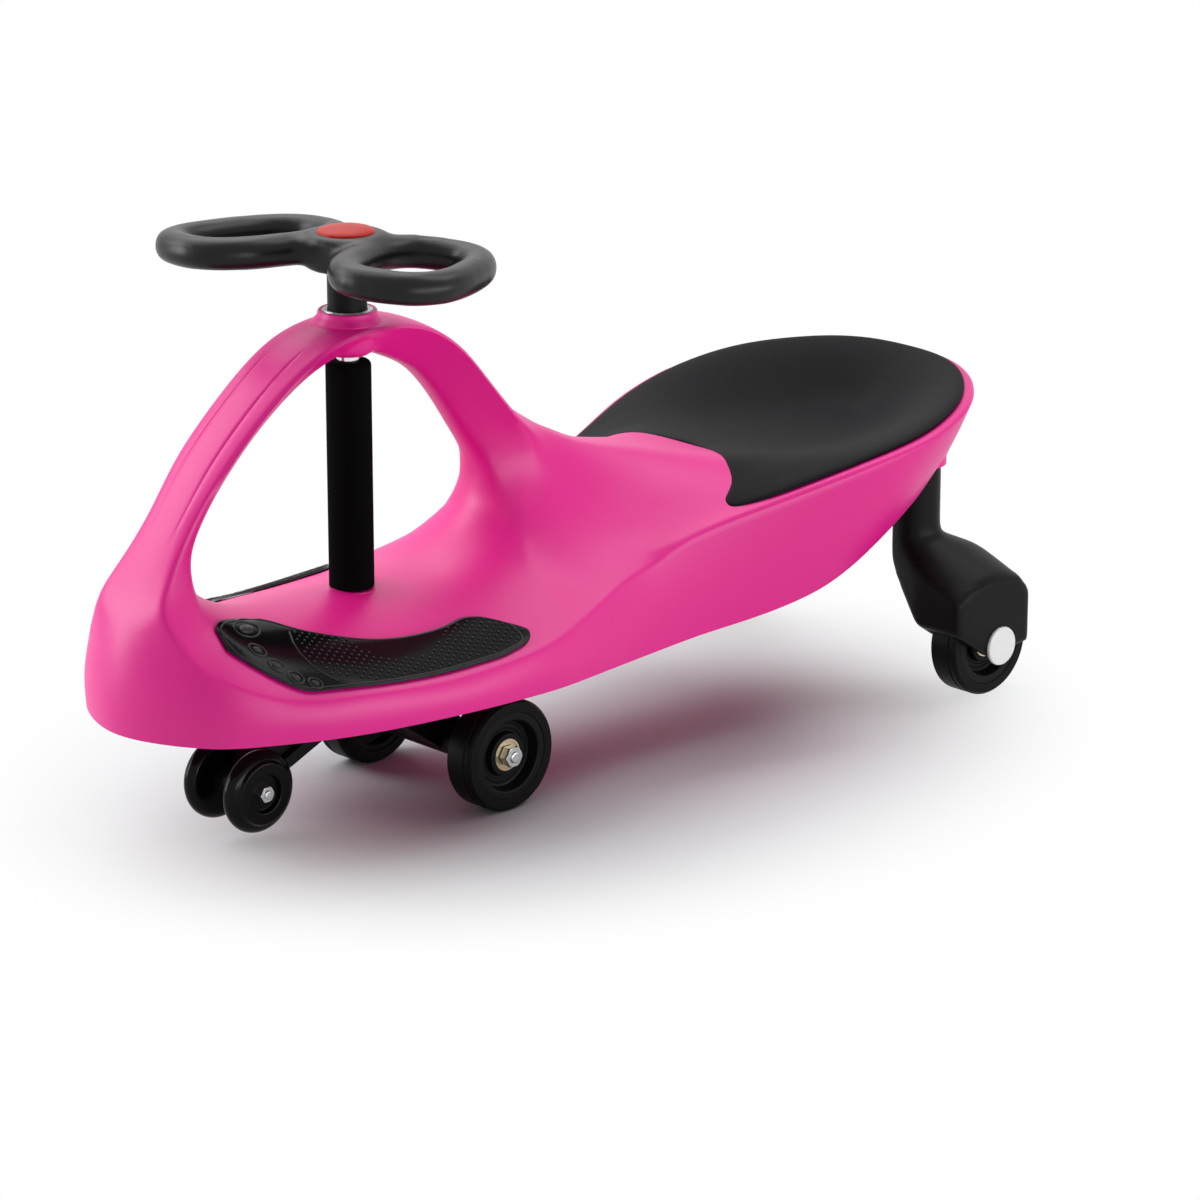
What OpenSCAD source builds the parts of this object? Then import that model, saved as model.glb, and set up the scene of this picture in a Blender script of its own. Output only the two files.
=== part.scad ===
// Wiggle car: a ride-on toy that rolls forward when its steering wheel is swung from side to side.
// X points forward, Y to the rider's left and Z up. The floor is Z = 0, and the origin lies
// under the middle of the car's length. Everything lengthwise is placed from the steering column.

/* [Body shell] */
// Reach of the nose in front of the steering column
front_reach = 202; // [190:1:215]
// Reach of the tail behind the steering column
rear_reach = 547; // [532:1:565]
// Wall of the moulded shell
shell_wall = 3.5; // [3:0.25:4.5]
// Half-width of the shell at the foot decks
deck_half_width = 115; // [108:1:124]
// Half-width of the shell at the seat
seat_half_width = 131; // [125:1:140]
// Half-width of the shell at the waist between deck and seat
waist_half_width = 86; // [80:1:94]
// Height of the skirt's lower edge at the nose
skirt_bottom_z = 100; // [97:1:106]
// Height of the deck's crest at the steering column
crest_z = 156; // [153:0.5:158]
// Height of the top of the arch, beside the collar
arch_top_z = 338; // [332:1:342]
// Half-width of the arch at its top
arch_half_width = 28; // [26:0.5:32]
// Thickness of the front leg of the arch
arch_thickness = 20; // [17:0.5:23]
// Height of the seat's rear rim
seat_rim_z = 217; // [212:1:224]
// Height of the bottom of the seat dish
seat_dish_z = 178; // [174:1:182]
// Outer diameter of the collar at the top of the arch
collar_d = 38; // [37:0.5:42]
// Height of the collar above the arch's top
collar_rise = 5; // [3:0.5:8]
// Depth of the collar's boss below its top
collar_depth = 29; // [26:1:31]

/* [Pads] */
// Thickness of the seat pad
seat_pad_thickness = 3; // [2:0.5:4]
// Thickness of the foot pads
foot_pad_thickness = 2; // [1.5:0.25:3]

/* [Steering] */
// Diameter of the steel column tube
column_d = 16; // [14:0.5:18]
// Wall of the column tube
column_wall = 1.5; // [1:0.25:2.5]
// Diameter of the stem above the collar
stem_d = 26; // [24:0.5:27]
// Outer diameter of the foam sleeve
sleeve_d = 30; // [27:0.5:34]
// Length of bare column that shows above the foam sleeve
bare_column = 5; // [3:0.5:30]
// Outer diameter of the steel ring in the collar
upper_bush_d = 33; // [31:0.5:34]
// Outer diameter of the bush in the deck
lower_bush_d = 24; // [22:0.5:27]
// Height of the middle of the steering wheel's rim above the collar, at the column
rim_lift = 40; // [36:0.5:48]
// Height of the rim's section
rim_height = 21; // [19:0.5:26]
// Width of the rim's section
rim_width = 23; // [19:0.5:26]
// Half the length of a wheel loop, to the middle of the rim
loop_half_length = 55; // [50:0.5:60]
// Half the breadth of a wheel loop, to the middle of the rim
loop_half_breadth = 37; // [33:0.5:41]
// Angle at which the loops splay outwards towards the front
loop_splay = 17; // [5:1:25]
// Distance of a loop's middle from the column, sideways
loop_side = 65; // [63:0.5:72]
// Distance of the loops' middles in front of the column
loop_sweep = 14; // [8:0.5:20]
// Rise of the loops towards the front, in degrees
loop_rise = 3.5; // [0:0.5:6]
// Droop of the loops towards their outer ends, in degrees
loop_droop = 2.3; // [0:0.1:6]
// Diameter of the steering wheel's hub
wheel_hub_d = 52; // [48:1:58]
// Angle at which the steering wheel is clamped on the column
wheel_setting = 10; // [-12:1:12]
// Diameter of the cap on the steering wheel
wheel_cap_d = 38; // [32:1:42]

/* [Front truck] */
// Diameter of the main wheels
wheel_d = 77; // [72:1:80]
// Width of the main wheels
wheel_width = 24; // [22:1:26]
// Radial depth of the tyres
tyre_depth = 8.5; // [6:0.5:10]
// Distance of the front axle behind the column
front_trail = 70; // [64:1:76]
// Distance between the middles of the front wheels
front_track = 133; // [126:1:140]
// Diameter of the main axles
axle_d = 8; // [7:0.5:9]
// Outer diameter of the wheel bearings
bearing_d = 22; // [20:1:24]
// Width of one wheel bearing
bearing_width = 7; // [6:0.5:7.5]
// Diameter of the safety wheels
safety_d = 56; // [52:1:60]
// Width of the safety wheels
safety_width = 15; // [14:0.5:17]
// Distance of the safety axle in front of the column
safety_reach = 101; // [96:1:104]
// Height of the safety axle
safety_z = 42; // [38:1:44]
// Distance between the middles of the safety wheels
safety_track = 42; // [40:1:48]
// Diameter of the safety axle
safety_axle_d = 6; // [5:0.5:7]

/* [Rear wheels] */
// Distance of the rear axles behind the column
rear_axle_back = 479; // [474:1:484]
// Distance of the rear wheels' middles outwards from their posts
wheel_offset = 40; // [39:0.5:44]
// Diameter of the rear struts' posts
post_d = 34; // [31:0.5:36]
// Distance of the posts behind the column
post_back = 455.5; // [450:0.5:458]
// Distance of the posts' middles in from the seat's edge
post_inset = 43; // [40:0.5:46]
// Diameter of the caps over the rear axles
axle_cap_d = 28; // [24:1:30]

/* [Hidden] */
column_x = (rear_reach - front_reach) / 2;
collar_top_z = arch_top_z + collar_rise;
sleeve_top_z = collar_top_z - collar_depth - bare_column;
rim_z = collar_top_z + rim_lift;
post_side = seat_half_width - post_inset;
wheel_y = post_side + wheel_offset;
steps = 3;
function lift(p, dz) = p + [0, 0, dz];
function across(p) = [p[0], -p[1], p[2]];
function blend(a, b, t) = a + (b - a) * t;
function ease(t) = let (c = max(0, min(1, t))) c * c * (3 - 2 * c);

// A smooth curve through points at t = 0, 1, 2 and so on
function cubic(a, b, c, d, f) =
    b + (c - a) * f / 2 + (2 * a - 5 * b + 4 * c - d) * f * f / 2 + (3 * b - a - 3 * c + d) * f * f * f / 2;
function smooth(p, t, before, after) =
    let (n = len(p) - 1, i = min(floor(t), n - 1))
    cubic(i > 0 ? p[i - 1] : before, p[i], p[i + 1], i + 2 <= n ? p[i + 2] : after, t - i);
function smooth_open(p, t) =
    let (n = len(p) - 1) smooth(p, t, 2 * p[0] - p[1], 2 * p[n] - p[n - 1]);
function smooth_round(p, t) = smooth(p, t, across(p[1]), across(p[len(p) - 2]));

// A smooth value at x between rows of [x, value], rows in falling x
function place(rows, x, i = 0) = i >= len(rows) - 2 || x >= rows[i + 1][0] ? i : place(rows, x, i + 1);
function slope(rows, i) =
    let (a = rows[max(i - 1, 0)], b = rows[min(i + 1, len(rows) - 1)]) (b[1] - a[1]) / (b[0] - a[0]);
function along(rows, x) =
    let (i = place(rows, x), a = rows[i], b = rows[i + 1], w = b[0] - a[0], f = (x - a[0]) / w)
    let (f2 = f * f, f3 = f2 * f)
    (2 * f3 - 3 * f2 + 1) * a[1] + (f3 - 2 * f2 + f) * w * slope(rows, i)
    + (3 * f2 - 2 * f3) * b[1] + (f3 - f2) * w * slope(rows, i + 1);

// Outward swell of the skirt, which brings its middle out to the nose's full reach
skirt_bulge = 2.5;
nose_x = front_reach - skirt_bulge / 2;

// The crease: the edge between skirt and deck, from the nose round the left side to the tail
crease_points = [
    [nose_x - 3, 0, 160], [front_reach - 27, 58, 149.5], [131, 90, 129],
    [78, deck_half_width - 7, 126], [10, deck_half_width, 122], [-70, deck_half_width - 1, 125],
    [-125, (deck_half_width + waist_half_width) / 2 - 2, 133.5], [-175, waist_half_width + 1, 146],
    [-235, waist_half_width + 3, 161.5], [-300, waist_half_width + 19, 174.5],
    [-365, seat_half_width - 6.5, 189], [-425, seat_half_width, seat_rim_z - 17.5],
    [-478, seat_half_width - 15, seat_rim_z - 8], [-rear_reach + 27, 81, seat_rim_z - 2.5],
    [-rear_reach + 6, 43, seat_rim_z], [-rear_reach, 0, seat_rim_z]];
// The skirt's lower edge, point for point below the crease
hem_points = [
    [nose_x, 0, skirt_bottom_z], [front_reach - 25, 61, skirt_bottom_z], [136, 89, skirt_bottom_z],
    [84, deck_half_width - 7, skirt_bottom_z - 1], [10, deck_half_width + 3, skirt_bottom_z - 3],
    [-72, deck_half_width + 1, skirt_bottom_z - 7],
    [-128, (deck_half_width + waist_half_width) / 2 + 1, skirt_bottom_z - 12],
    [-180, waist_half_width + 4, skirt_bottom_z - 15], [-238, waist_half_width + 2, skirt_bottom_z - 13],
    [-300, waist_half_width + 10, skirt_bottom_z - 8], [-352, seat_half_width - 28, skirt_bottom_z + 3],
    [-402, seat_half_width - 24, skirt_bottom_z + 28], [-456, seat_half_width - 34, skirt_bottom_z + 52],
    [-rear_reach + 53, 66, skirt_bottom_z + 58], [-rear_reach + 36, 33, skirt_bottom_z + 60],
    [-rear_reach + 32, 0, skirt_bottom_z + 60]];
spans = len(crease_points) - 1;
last = spans * steps;
corner = steps;
foot = 6 * steps;
function crease(i) = smooth_round(crease_points, i / steps);
function hem(i) = smooth_round(hem_points, i / steps);
function inward(i) =
    let (d = crease(min(i + 0.2, last)) - crease(max(i - 0.2, 0)), n = norm([d[0], d[1]]))
    i == 0 ? [-1, 0, 0] : i == last ? [1, 0, 0] : [-d[1], d[0], 0] / n;

// The deck: a crest along the middle that falls to the crease on each side
crest_start = 140;
crest_end = -112;
crest_rows = [[crest_start, crest_z + 32], [125, crest_z + 18], [100, crest_z + 8], [60, crest_z + 2.5],
    [0, crest_z], [-40, crest_z + 1.5], [-70, crest_z + 3.5], [-92, crest_z + 11], [crest_end, crest_z + 35]];
side_rows = [for (i = [1:8]) [crease_points[i][0], crease_points[i][1]]];
side_heights = [for (i = [1:8]) [crease_points[i][0], crease_points[i][2]]];
deck_power = 1.5;
function deck_z(x, y) =
    let (w = along(side_rows, x), low = along(side_heights, x), q = min(abs(y) / w, 1))
    low + (along(crest_rows, max(crest_end, min(crest_start, x))) - low) * (1 - pow(q, deck_power));

// Rows across the deck, from the crease inwards; beside the foot of the hump the outer rows rise into it
deck_rows = [1, 0.8, 0.6, 0.38, 0.18, 0];
hump_row = 2;
function to_hump(i) = ease(1 - (foot - i) / steps);
edge_round = 2.2;
function crest_x(i) = blend(crest_start, crest_end, (i - corner) / (foot - corner));
function edge_low(i) = crease(i) + [0, 0, -edge_round];
edge_lift = 0.3;
function edge_top(i) = lift(crease(i) + inward(i) * edge_round, edge_lift);
function deck_point(i, r) =
    let (c = edge_top(i), q = deck_rows[r], x = blend(crest_x(i), c[0], q), y = c[1] * q)
    let (z = deck_z(x, y))
    r == 0 ? c : [x, y, r > hump_row ? z : blend(z, seat_point(foot, q)[2], to_hump(i))];

// Hump and seat: lines from the crease to the ridge, which runs down from the arch into the dish
ridge_rises = [[-168, 56], [-203, 39], [-242, 28], [-287, 17], [-325, 8], [-360, 2], [-395, 0], [-420, 0],
    [-437, 0.5], [-446, 1]];
ridge_points = [for (p = ridge_rises) [p[0], 0, seat_dish_z + p[1]]];
hump_flare = 45;
ridge_tops = [0.12, 0.16, 0.2, 0.26, 0.3, 0.3, 0.3, 0.3, 0.3, 0.3];
ridge_feet = [0.6, 0.75, 0.9, 1, 1, 1, 1, 1, 1, 1];
narrow_rows = [1, 0.8, 0.6, 0.38, 0.345, 0.305, 0.265, 0.225, 0.165, 0.085, 0];
wide_rows = [1, 0.955, 0.92, 0.84, 0.74, 0.63, 0.51, 0.39, 0.26, 0.13, 0];
function ridge(i) = smooth_open(ridge_points, (i - foot) / steps);
function seat_row(i, r) = blend(narrow_rows[r], wide_rows[r], ease((i - foot) / (4 * steps)));
function seat_point(i, q) =
    let (c = edge_top(i), t = (i - foot) / steps, top = ridge(i))
    let (q1 = smooth_open(ridge_tops, t), q2 = smooth_open(ridge_feet, t))
    let (base = c[2] + hump_flare * (1 - q) * ease(1 - t / 2.5))
    let (z = base + (top[2] - base) * (1 - ease((q - q1) / (q2 - q1))))
    let (start = blend(crest_end, top[0], ease(t / 4)), tilt = (top[0] - start) / max(1, top[2] - base))
    [blend(start, c[0], q) + tilt * (z - base) * (1 - q), c[1] * q, z];

// The arch: sections from the nose over the collar to the hump.
// Each row is outer centre, inner centre, outer half-width and inner half-width, with heights as
// drops below the arch's top, and the fall of the outer face to its edges where that isn't the usual
// crown. In the front leg the inner centre lies one thickness in.
function arch_z(drop) = arch_top_z - drop;
arch_crown = 3;
keel_round = 4;
function leg(x, drop, angle, w, v) =
    let (o = [x, arch_z(drop)]) [o, o - arch_thickness * [cos(angle), sin(angle)], w, v];
arch_sections = [
    [[190, arch_z(158)], [142, arch_z(141)], arch_half_width + 6, arch_half_width - 1],
    [[178, arch_z(136)], [142, arch_z(126)], arch_half_width, arch_half_width - 8],
    leg(158, 107, 34, arch_half_width - 2.5, arch_half_width - 13),
    leg(129, 72, 45, arch_half_width - 3, arch_half_width - 14),
    leg(91, 37.5, 62, arch_half_width - 2.5, arch_half_width - 14),
    [[47, arch_z(8.5)], [38.5, arch_z(28.5)], arch_half_width - 1, arch_half_width - 14],
    [[0, arch_top_z], [0, arch_z(22)], arch_half_width, arch_half_width - 15],
    [[-42, arch_z(5)], [-32, arch_z(33)], arch_half_width + 1, arch_half_width - 17],
    [[-76, arch_z(25.5)], [-56, arch_z(47)], arch_half_width + 1, arch_half_width - 17],
    [[-100, arch_z(52)], [-78, arch_z(73)], arch_half_width + 1, arch_half_width - 17],
    [[-124, arch_z(76)], [-97, arch_z(102)], arch_half_width + 1, arch_half_width - 16, 2 * arch_crown],
    [[-146, arch_z(91)], [-109, arch_z(120)], arch_half_width, arch_half_width - 12, 4 * arch_crown]];
function section_point(s, k) =
    let (o = s[0], u = s[1], w = s[2], v = s[3], d = (u - o) / norm(u - o), t = norm(u - o))
    let (y = [0, 0.36 * w, 0.72 * w, w - edge_round, w, (w + v) / 2, v, v - 0.6 * keel_round, v / 2, 0][k])
    let (n = [0, 0.13, 0.52, 0.9, 1, 0, 0, 0, 0, 0][k] * (is_undef(s[4]) ? arch_crown : s[4]))
    let (g = keel_round, h = [n, n, n, n, n + edge_round, t / 2, t - g, t - 0.4 * g, t - 0.1 * g, t][k])
    [o[0] + d[0] * h, y, o[1] + d[1] * h];
function arch_start(k) = k < 4 ? edge_low(k) : deck_point(corner, k - 4);
function arch_finish(k) = k > 6 ? deck_point(foot, k - 4) : seat_point(foot, narrow_rows[10 - k]);
rings = 2 * (len(arch_sections) + 1);
function arch_point(t, k) =
    let (middle = [for (s = arch_sections) section_point(s, k)])
    smooth_open(concat([arch_start(k)], middle, [arch_finish(k)]), t / 2);

// The left half of the shell's skin, as blocks of points
skirt_rows = [0, 0.28, 0.6, 0.88, 1];
function skirt_point(i, r) =
    let (f = skirt_rows[r], p = blend(edge_low(i), hem(i), f))
    p - inward(i) * skirt_bulge * sin(180 * f);
skirt_count = len(skirt_rows);
arch_count = 10;
deck_count = len(deck_rows);
seat_count = len(wide_rows);
outer_skirt = [for (i = [0:last], r = [0:skirt_count - 1]) skirt_point(i, r)];
outer_deck = [for (i = [corner:foot], r = [0:deck_count - 1]) deck_point(i, r)];
outer_seat = [for (i = [foot + 1:last], r = [0:seat_count - 1])
    r == 0 ? edge_top(i) : seat_point(i, seat_row(i, r))];
outer_arch = [for (t = [1:rings], k = [0:arch_count - 1]) arch_point(t, k)];
deck_base = len(outer_skirt);
seat_base = deck_base + len(outer_deck);
arch_base = seat_base + len(outer_seat);
inner_base = arch_base + len(outer_arch);
function skirt_id(i, r) = i * skirt_count + r;
function deck_id(i, r) = deck_base + (i - corner) * deck_count + r;
function seat_id(i, r) =
    i > foot ? seat_base + (i - foot - 1) * seat_count + r
    : r < 4 ? deck_id(foot, r)
    : arch_id(rings, 10 - r);
function arch_id(t, k) =
    t == 0 ? (k < 4 ? skirt_id(k, 0) : deck_id(corner, k - 4))
    : t == rings && k > 6 ? deck_id(foot, k - 4)
    : arch_base + (t - 1) * arch_count + k;

// The inside of the shell, one wall in from the outside and open underneath
function normal_at(a, b, c, d) = let (n = cross(b - a, d - c)) n / max(0.001, norm(n));
function inner_edge(i) = crease(i) + inward(i) * shell_wall * 1.2 - [0, 0, shell_wall * 1.2];
function inner_hem(i) = hem(i) + inward(i) * shell_wall;
function inner_deck_point(i, r) = r == 0 ? inner_edge(i) : lift(deck_point(i, r), -shell_wall * 1.08);
function inner_seat_point(i, r) =
    let (q = seat_row(i, r), a = seat_point(max(i - 0.5, foot), q), b = seat_point(min(i + 0.5, last), q))
    let (c = seat_point(i, min(1, q + 0.05)), d = seat_point(i, max(0, q - 0.05)))
    let (n = normal_at(a, b, c, d), p = seat_point(i, q) - n * shell_wall * sign(n[2]))
    r == 0 ? inner_edge(i) : r == seat_count - 1 || i == last ? [p[0], 0, p[2]] : p;
inner_skirt = [for (i = [0:last], f = [0, 0.5, 1])
    blend(inner_edge(i), inner_hem(i), f) - inward(i) * skirt_bulge * sin(180 * f)];
inner_deck = [for (i = [corner:foot], r = [1:deck_count - 1]) inner_deck_point(i, r)];
inner_seat = [for (i = [foot:last], r = [1:seat_count - 1]) inner_seat_point(i, r)];
inner_deck_base = inner_base + len(inner_skirt);
inner_seat_base = inner_deck_base + len(inner_deck);
function inner_skirt_id(i, r) = inner_base + i * 3 + r;
function inner_deck_id(i, r) =
    r == 0 ? inner_skirt_id(i, 0) : inner_deck_base + (i - corner) * (deck_count - 1) + r - 1;
function inner_seat_id(i, r) =
    r == 0 ? inner_skirt_id(i, 0)
    : i == foot && r < 4 ? inner_deck_id(foot, r)
    : inner_seat_base + (i - foot) * (seat_count - 1) + r - 1;
half_skin = concat(outer_skirt, outer_deck, outer_seat, outer_arch, inner_skirt, inner_deck, inner_seat);

// Triangles that close the strip between two rows of points that start at one point
function fan(a, b) =
    let (n = len(a) - 1, m = len(b) - 1)
    [for (k = [0:n + m - 1])
        let (i = min(n, ceil(k * n / (n + m))), j = k - i, i2 = min(n, ceil((k + 1) * n / (n + m))))
        i2 > i ? [b[j], a[i + 1], a[i]] : [b[j], b[j + 1], a[i]]];
function proper(f) = [for (t = f) if (t[0] != t[1] && t[1] != t[2] && t[0] != t[2]) t];
function triangles(quads) = [for (q = quads, t = [[0, 1, 2], [0, 2, 3]]) [for (k = t) q[k]]];
half_quads = concat(
    [for (i = [0:last - 1], r = [0:skirt_count - 2])
        [skirt_id(i, r), skirt_id(i + 1, r), skirt_id(i + 1, r + 1), skirt_id(i, r + 1)]],
    [for (i = [corner:foot - 1]) [skirt_id(i, 0), deck_id(i, 0), deck_id(i + 1, 0), skirt_id(i + 1, 0)]],
    [for (i = [foot:last - 1]) [skirt_id(i, 0), seat_id(i, 0), seat_id(i + 1, 0), skirt_id(i + 1, 0)]],
    [for (i = [corner:foot - 1], r = [0:deck_count - 2])
        [deck_id(i, r), deck_id(i, r + 1), deck_id(i + 1, r + 1), deck_id(i + 1, r)]],
    [for (i = [foot:last - 1], r = [0:seat_count - 2])
        [seat_id(i, r), seat_id(i, r + 1), seat_id(i + 1, r + 1), seat_id(i + 1, r)]],
    [for (t = [0:rings - 1], k = [0:arch_count - 2])
        [arch_id(t, k), arch_id(t + 1, k), arch_id(t + 1, k + 1), arch_id(t, k + 1)]],
    [for (i = [0:last - 1])
        [skirt_id(i, 4), skirt_id(i + 1, 4), inner_skirt_id(i + 1, 2), inner_skirt_id(i, 2)]],
    [for (i = [0:last - 1], r = [0:1])
        [inner_skirt_id(i, r), inner_skirt_id(i, r + 1),
            inner_skirt_id(i + 1, r + 1), inner_skirt_id(i + 1, r)]],
    [for (i = [corner:foot - 1], r = [0:deck_count - 2])
        [inner_deck_id(i, r), inner_deck_id(i + 1, r),
            inner_deck_id(i + 1, r + 1), inner_deck_id(i, r + 1)]],
    [for (i = [foot:last - 1], r = [0:seat_count - 2])
        [inner_seat_id(i, r), inner_seat_id(i + 1, r),
            inner_seat_id(i + 1, r + 1), inner_seat_id(i, r + 1)]]);
nose_edge = [for (i = [corner:-1:0]) inner_skirt_id(i, 0)];
nose_deck = [for (r = [0:deck_count - 1]) inner_deck_id(corner, r)];
foot_deck = [for (r = [3:deck_count - 1]) inner_deck_id(foot, r)];
foot_seat = [for (r = [3:seat_count - 1]) inner_seat_id(foot, r)];
half_faces = concat(
    triangles(half_quads),
    proper(fan(nose_edge, nose_deck)),
    proper(fan(foot_deck, foot_seat)));

// A solid from the points and faces of its left half; points on the middle plane are shared
function twin(half, v) = abs(half[v][1]) < 0.001 ? v : v + len(half);
function turned(half, f) = [for (k = [len(f) - 1:-1:0]) twin(half, f[k])];
module mirrored_solid(half, faces) {
    polyhedron(
        points = concat(half, [for (p = half) across(p)]),
        faces = concat(faces, [for (f = faces) turned(half, f)]),
        convexity = 8);
}

// Fits
running_gap = 0.05;
seat_gap = 0.05;
side_gap = 0.4;
stem_gap = 1;
// How far a bore's cutter runs past the face that it opens
cut_past = 10;
lay_gap = 0.8;
foot_gap = 0.4;

// A slab between two sheets of points, each a list of rows
function flat(rows) = [for (row = rows, p = row) p];
function sheet_faces(n, m, at) =
    [for (i = [0:n - 2], j = [0:m - 2], t = [0, 1])
        let (a = at + i * m + j, b = a + 1, c = a + m + 1, d = a + m) t == 0 ? [c, b, a] : [d, c, a]];
function front_border(n, m) = concat([for (i = [n - 1:-1:1]) i * m], [for (j = [0:m - 1]) j]);
function border(n, m) = concat(
    front_border(n, m), [for (i = [1:n - 1]) i * m + m - 1], [for (j = [m - 2:-1:0]) (n - 1) * m + j]);
function reverse(f) = [f[2], f[1], f[0]];
function walls(rim, below) = [for (k = [0:len(rim) - 2], t = [0, 1])
    let (a = rim[k], b = rim[k + 1], c = b + below, d = a + below) t == 0 ? [c, d, a] : [b, c, a]];
function slab_faces(n, m, rim) =
    concat(sheet_faces(n, m, 0), [for (f = sheet_faces(n, m, n * m)) reverse(f)], walls(rim, n * m));

// The seat pad lies in the dish, a little inside the rim, and is notched round the end of the ridge
pad_stations = 16;
pad_rows = [0.965, 0.945, 0.9, 0.83, 0.74, 0.63, 0.51, 0.39, 0.26, 0.13, 0];
notch_depth = 1.55;
notch_start = 3.95;
function pad_start(q) = notch_start - notch_depth * pow(q, 2.4);
function pad_station(k, q) = foot + steps * blend(pad_start(q), spans - foot / steps, k / pad_stations);
function pad_side_thick(q) = q > 0.96 ? 0.4 : q > 0.94 ? 0.8 : 1;
function pad_end_thick(k) = k == 0 ? 0.4 : 1;
function pad_point(k, q, h) = lift(seat_point(pad_station(k, q), q), h);
pad_top = [for (k = [0:pad_stations]) [for (q = pad_rows)
    pad_point(k, q, lay_gap + seat_pad_thickness * pad_side_thick(q) * pad_end_thick(k))]];
pad_bottom = [for (k = [0:pad_stations]) [for (q = pad_rows) pad_point(k, q, lay_gap)]];
pad_count = len(pad_rows);
pad_border = front_border(pad_stations + 1, pad_count);
pad_faces = [for (f = slab_faces(pad_stations + 1, pad_count, pad_border)) reverse(f)];

// The left foot pad, a bean between its inner and its outer edge; its toe stands a little off the rising deck
foot_inner = [
    [147, 42], [133, 32], [102, 24], [81, 42.5], [52, 61], [23.5, 70], [-11.5, 72.5], [-33, 70], [-49, 76]];
foot_outer = [
    [149, 53], [136, 71], [118, 89], [101, deck_half_width - 18.5], [68, deck_half_width - 9.5],
    [25.6, deck_half_width - 5.2], [-18.4, deck_half_width - 4], [-46, deck_half_width - 8],
    [-58, deck_half_width - 20]];
foot_stations = 24;
toe_lift = 1;
toe_start = 85;
toe_run = 30;
foot_across = [0, 0.07, 0.2, 0.4, 0.6, 0.8, 0.93, 1];
function foot_thick(k, v) = (v == 0 || v == 1 || k == 0 || k == foot_stations ? 0.4 : 1) * foot_pad_thickness;
function foot_point(k, v, h) =
    let (t = k / foot_stations * (len(foot_inner) - 1))
    let (p = blend(smooth_open(foot_inner, t), smooth_open(foot_outer, t), v))
    [p[0], p[1], deck_z(p[0], p[1]) + h + toe_lift * ease((p[0] - toe_start) / toe_run)];
foot_top = [for (k = [0:foot_stations]) [for (v = foot_across)
    foot_point(k, v, foot_gap + foot_thick(k, v))]];
foot_bottom = [for (k = [0:foot_stations]) [for (v = foot_across) foot_point(k, v, foot_gap)]];

// Steering: heights along the column, from the truck up to the steering wheel
axle_z = wheel_d / 2;
deck_boss_wall = 5;
deck_boss_d = lower_bush_d + 2 * deck_boss_wall;
deck_boss_depth = 28;
deck_boss_z = crest_z - deck_boss_depth;
bush_flange = 3;
truck_top_z = deck_boss_z - bush_flange - side_gap;
truck_bottom_z = 62;
truck_hub_wall = 9;
truck_hub_d = column_d + 2 * truck_hub_wall;
column_bottom_z = truck_bottom_z + 2;
hub_top_z = rim_z + rim_height / 2 + 0.6;
hub_bottom_z = rim_z - rim_height / 2 - 1.5;
column_top_z = rim_z + 2;
stem_top_z = hub_bottom_z;
upper_bush_depth = 18;
stem_bottom_z = collar_top_z - upper_bush_depth - 3;
sleeve_bottom_z = crest_z + 1;
sleeve_round = 4;
wheel_bolt_d = 8;
bolt_head_h = 5.3;
bolt_plug = 20;
cap_socket_d = 23;
cap_socket_z = hub_top_z - 7.5;
cap_rise = 4;
cross_bolt_d = 6;
cross_bolt_z = 88;

// A closed round-cornered loop and a rounded section, as powers of a circle
function rounded(a, n) = [sign(cos(a)) * pow(abs(cos(a)), 2 / n), sign(sin(a)) * pow(abs(sin(a)), 2 / n)];
loop_squareness = 2.6;
rim_squareness = 2.4;
loop_stations = 32;
section_points = 12;
function loop_centre(a) =
    let (p = rounded(a, loop_squareness), u = loop_half_length * p[0], v = loop_half_breadth * p[1])
    let (x = loop_sweep + u * cos(loop_splay) - v * sin(loop_splay))
    let (y = loop_side + u * sin(loop_splay) + v * cos(loop_splay))
    [x, y, rim_z + x * tan(loop_rise) - y * tan(loop_droop)];
function loop_point(i, j) =
    let (a = 360 * i / loop_stations, b = 360 * (j + 0.5) / section_points)
    let (d = loop_centre(a + 1) - loop_centre(a - 1), n = [d[1], -d[0], 0] / norm([d[0], d[1]]))
    let (q = rounded(b, rim_squareness))
    loop_centre(a) + n * q[0] * rim_width / 2 + [0, 0, q[1] * rim_height / 2];
// The web that flows from the hub into both loops, with a fillet in each corner
web_height = 15;
web_fillet = 24;
web_reach = 46;
function loop_outline(out) = [for (i = [0:loop_stations - 1])
    let (a = 360 * i / loop_stations, c = loop_centre(a), d = loop_centre(a + 1) - loop_centre(a - 1))
    [c[0], c[1]] + out * [d[1], -d[0]] / norm([d[0], d[1]])];
module wheel_web() {
    translate([0, 0, rim_z - web_height / 2]) linear_extrude(web_height) difference() {
        intersection() {
            offset(r = -web_fillet, $fn = 48) offset(delta = web_fillet) union() {
                circle(d = wheel_hub_d, $fn = 48);
                for (side = [0, 1]) mirror([0, side]) polygon(loop_outline(rim_width / 4));
            }
            circle(r = web_reach, $fn = 48);
        }
        for (side = [0, 1]) mirror([0, side]) polygon(loop_outline(-rim_width / 4));
    }
}
module wheel_loop() {
    polyhedron(
        points = [for (i = [0:loop_stations - 1], j = [0:section_points - 1]) loop_point(i, j)],
        faces = [for (i = [0:loop_stations - 1], j = [0:section_points - 1], t = [0, 1])
            let (i2 = (i + 1) % loop_stations, j2 = (j + 1) % section_points)
            let (a = i * section_points + j, b = i2 * section_points + j)
            let (c = i2 * section_points + j2, d = i * section_points + j2)
            t == 0 ? [c, b, a] : [d, c, a]],
        convexity = 6);
}

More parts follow.
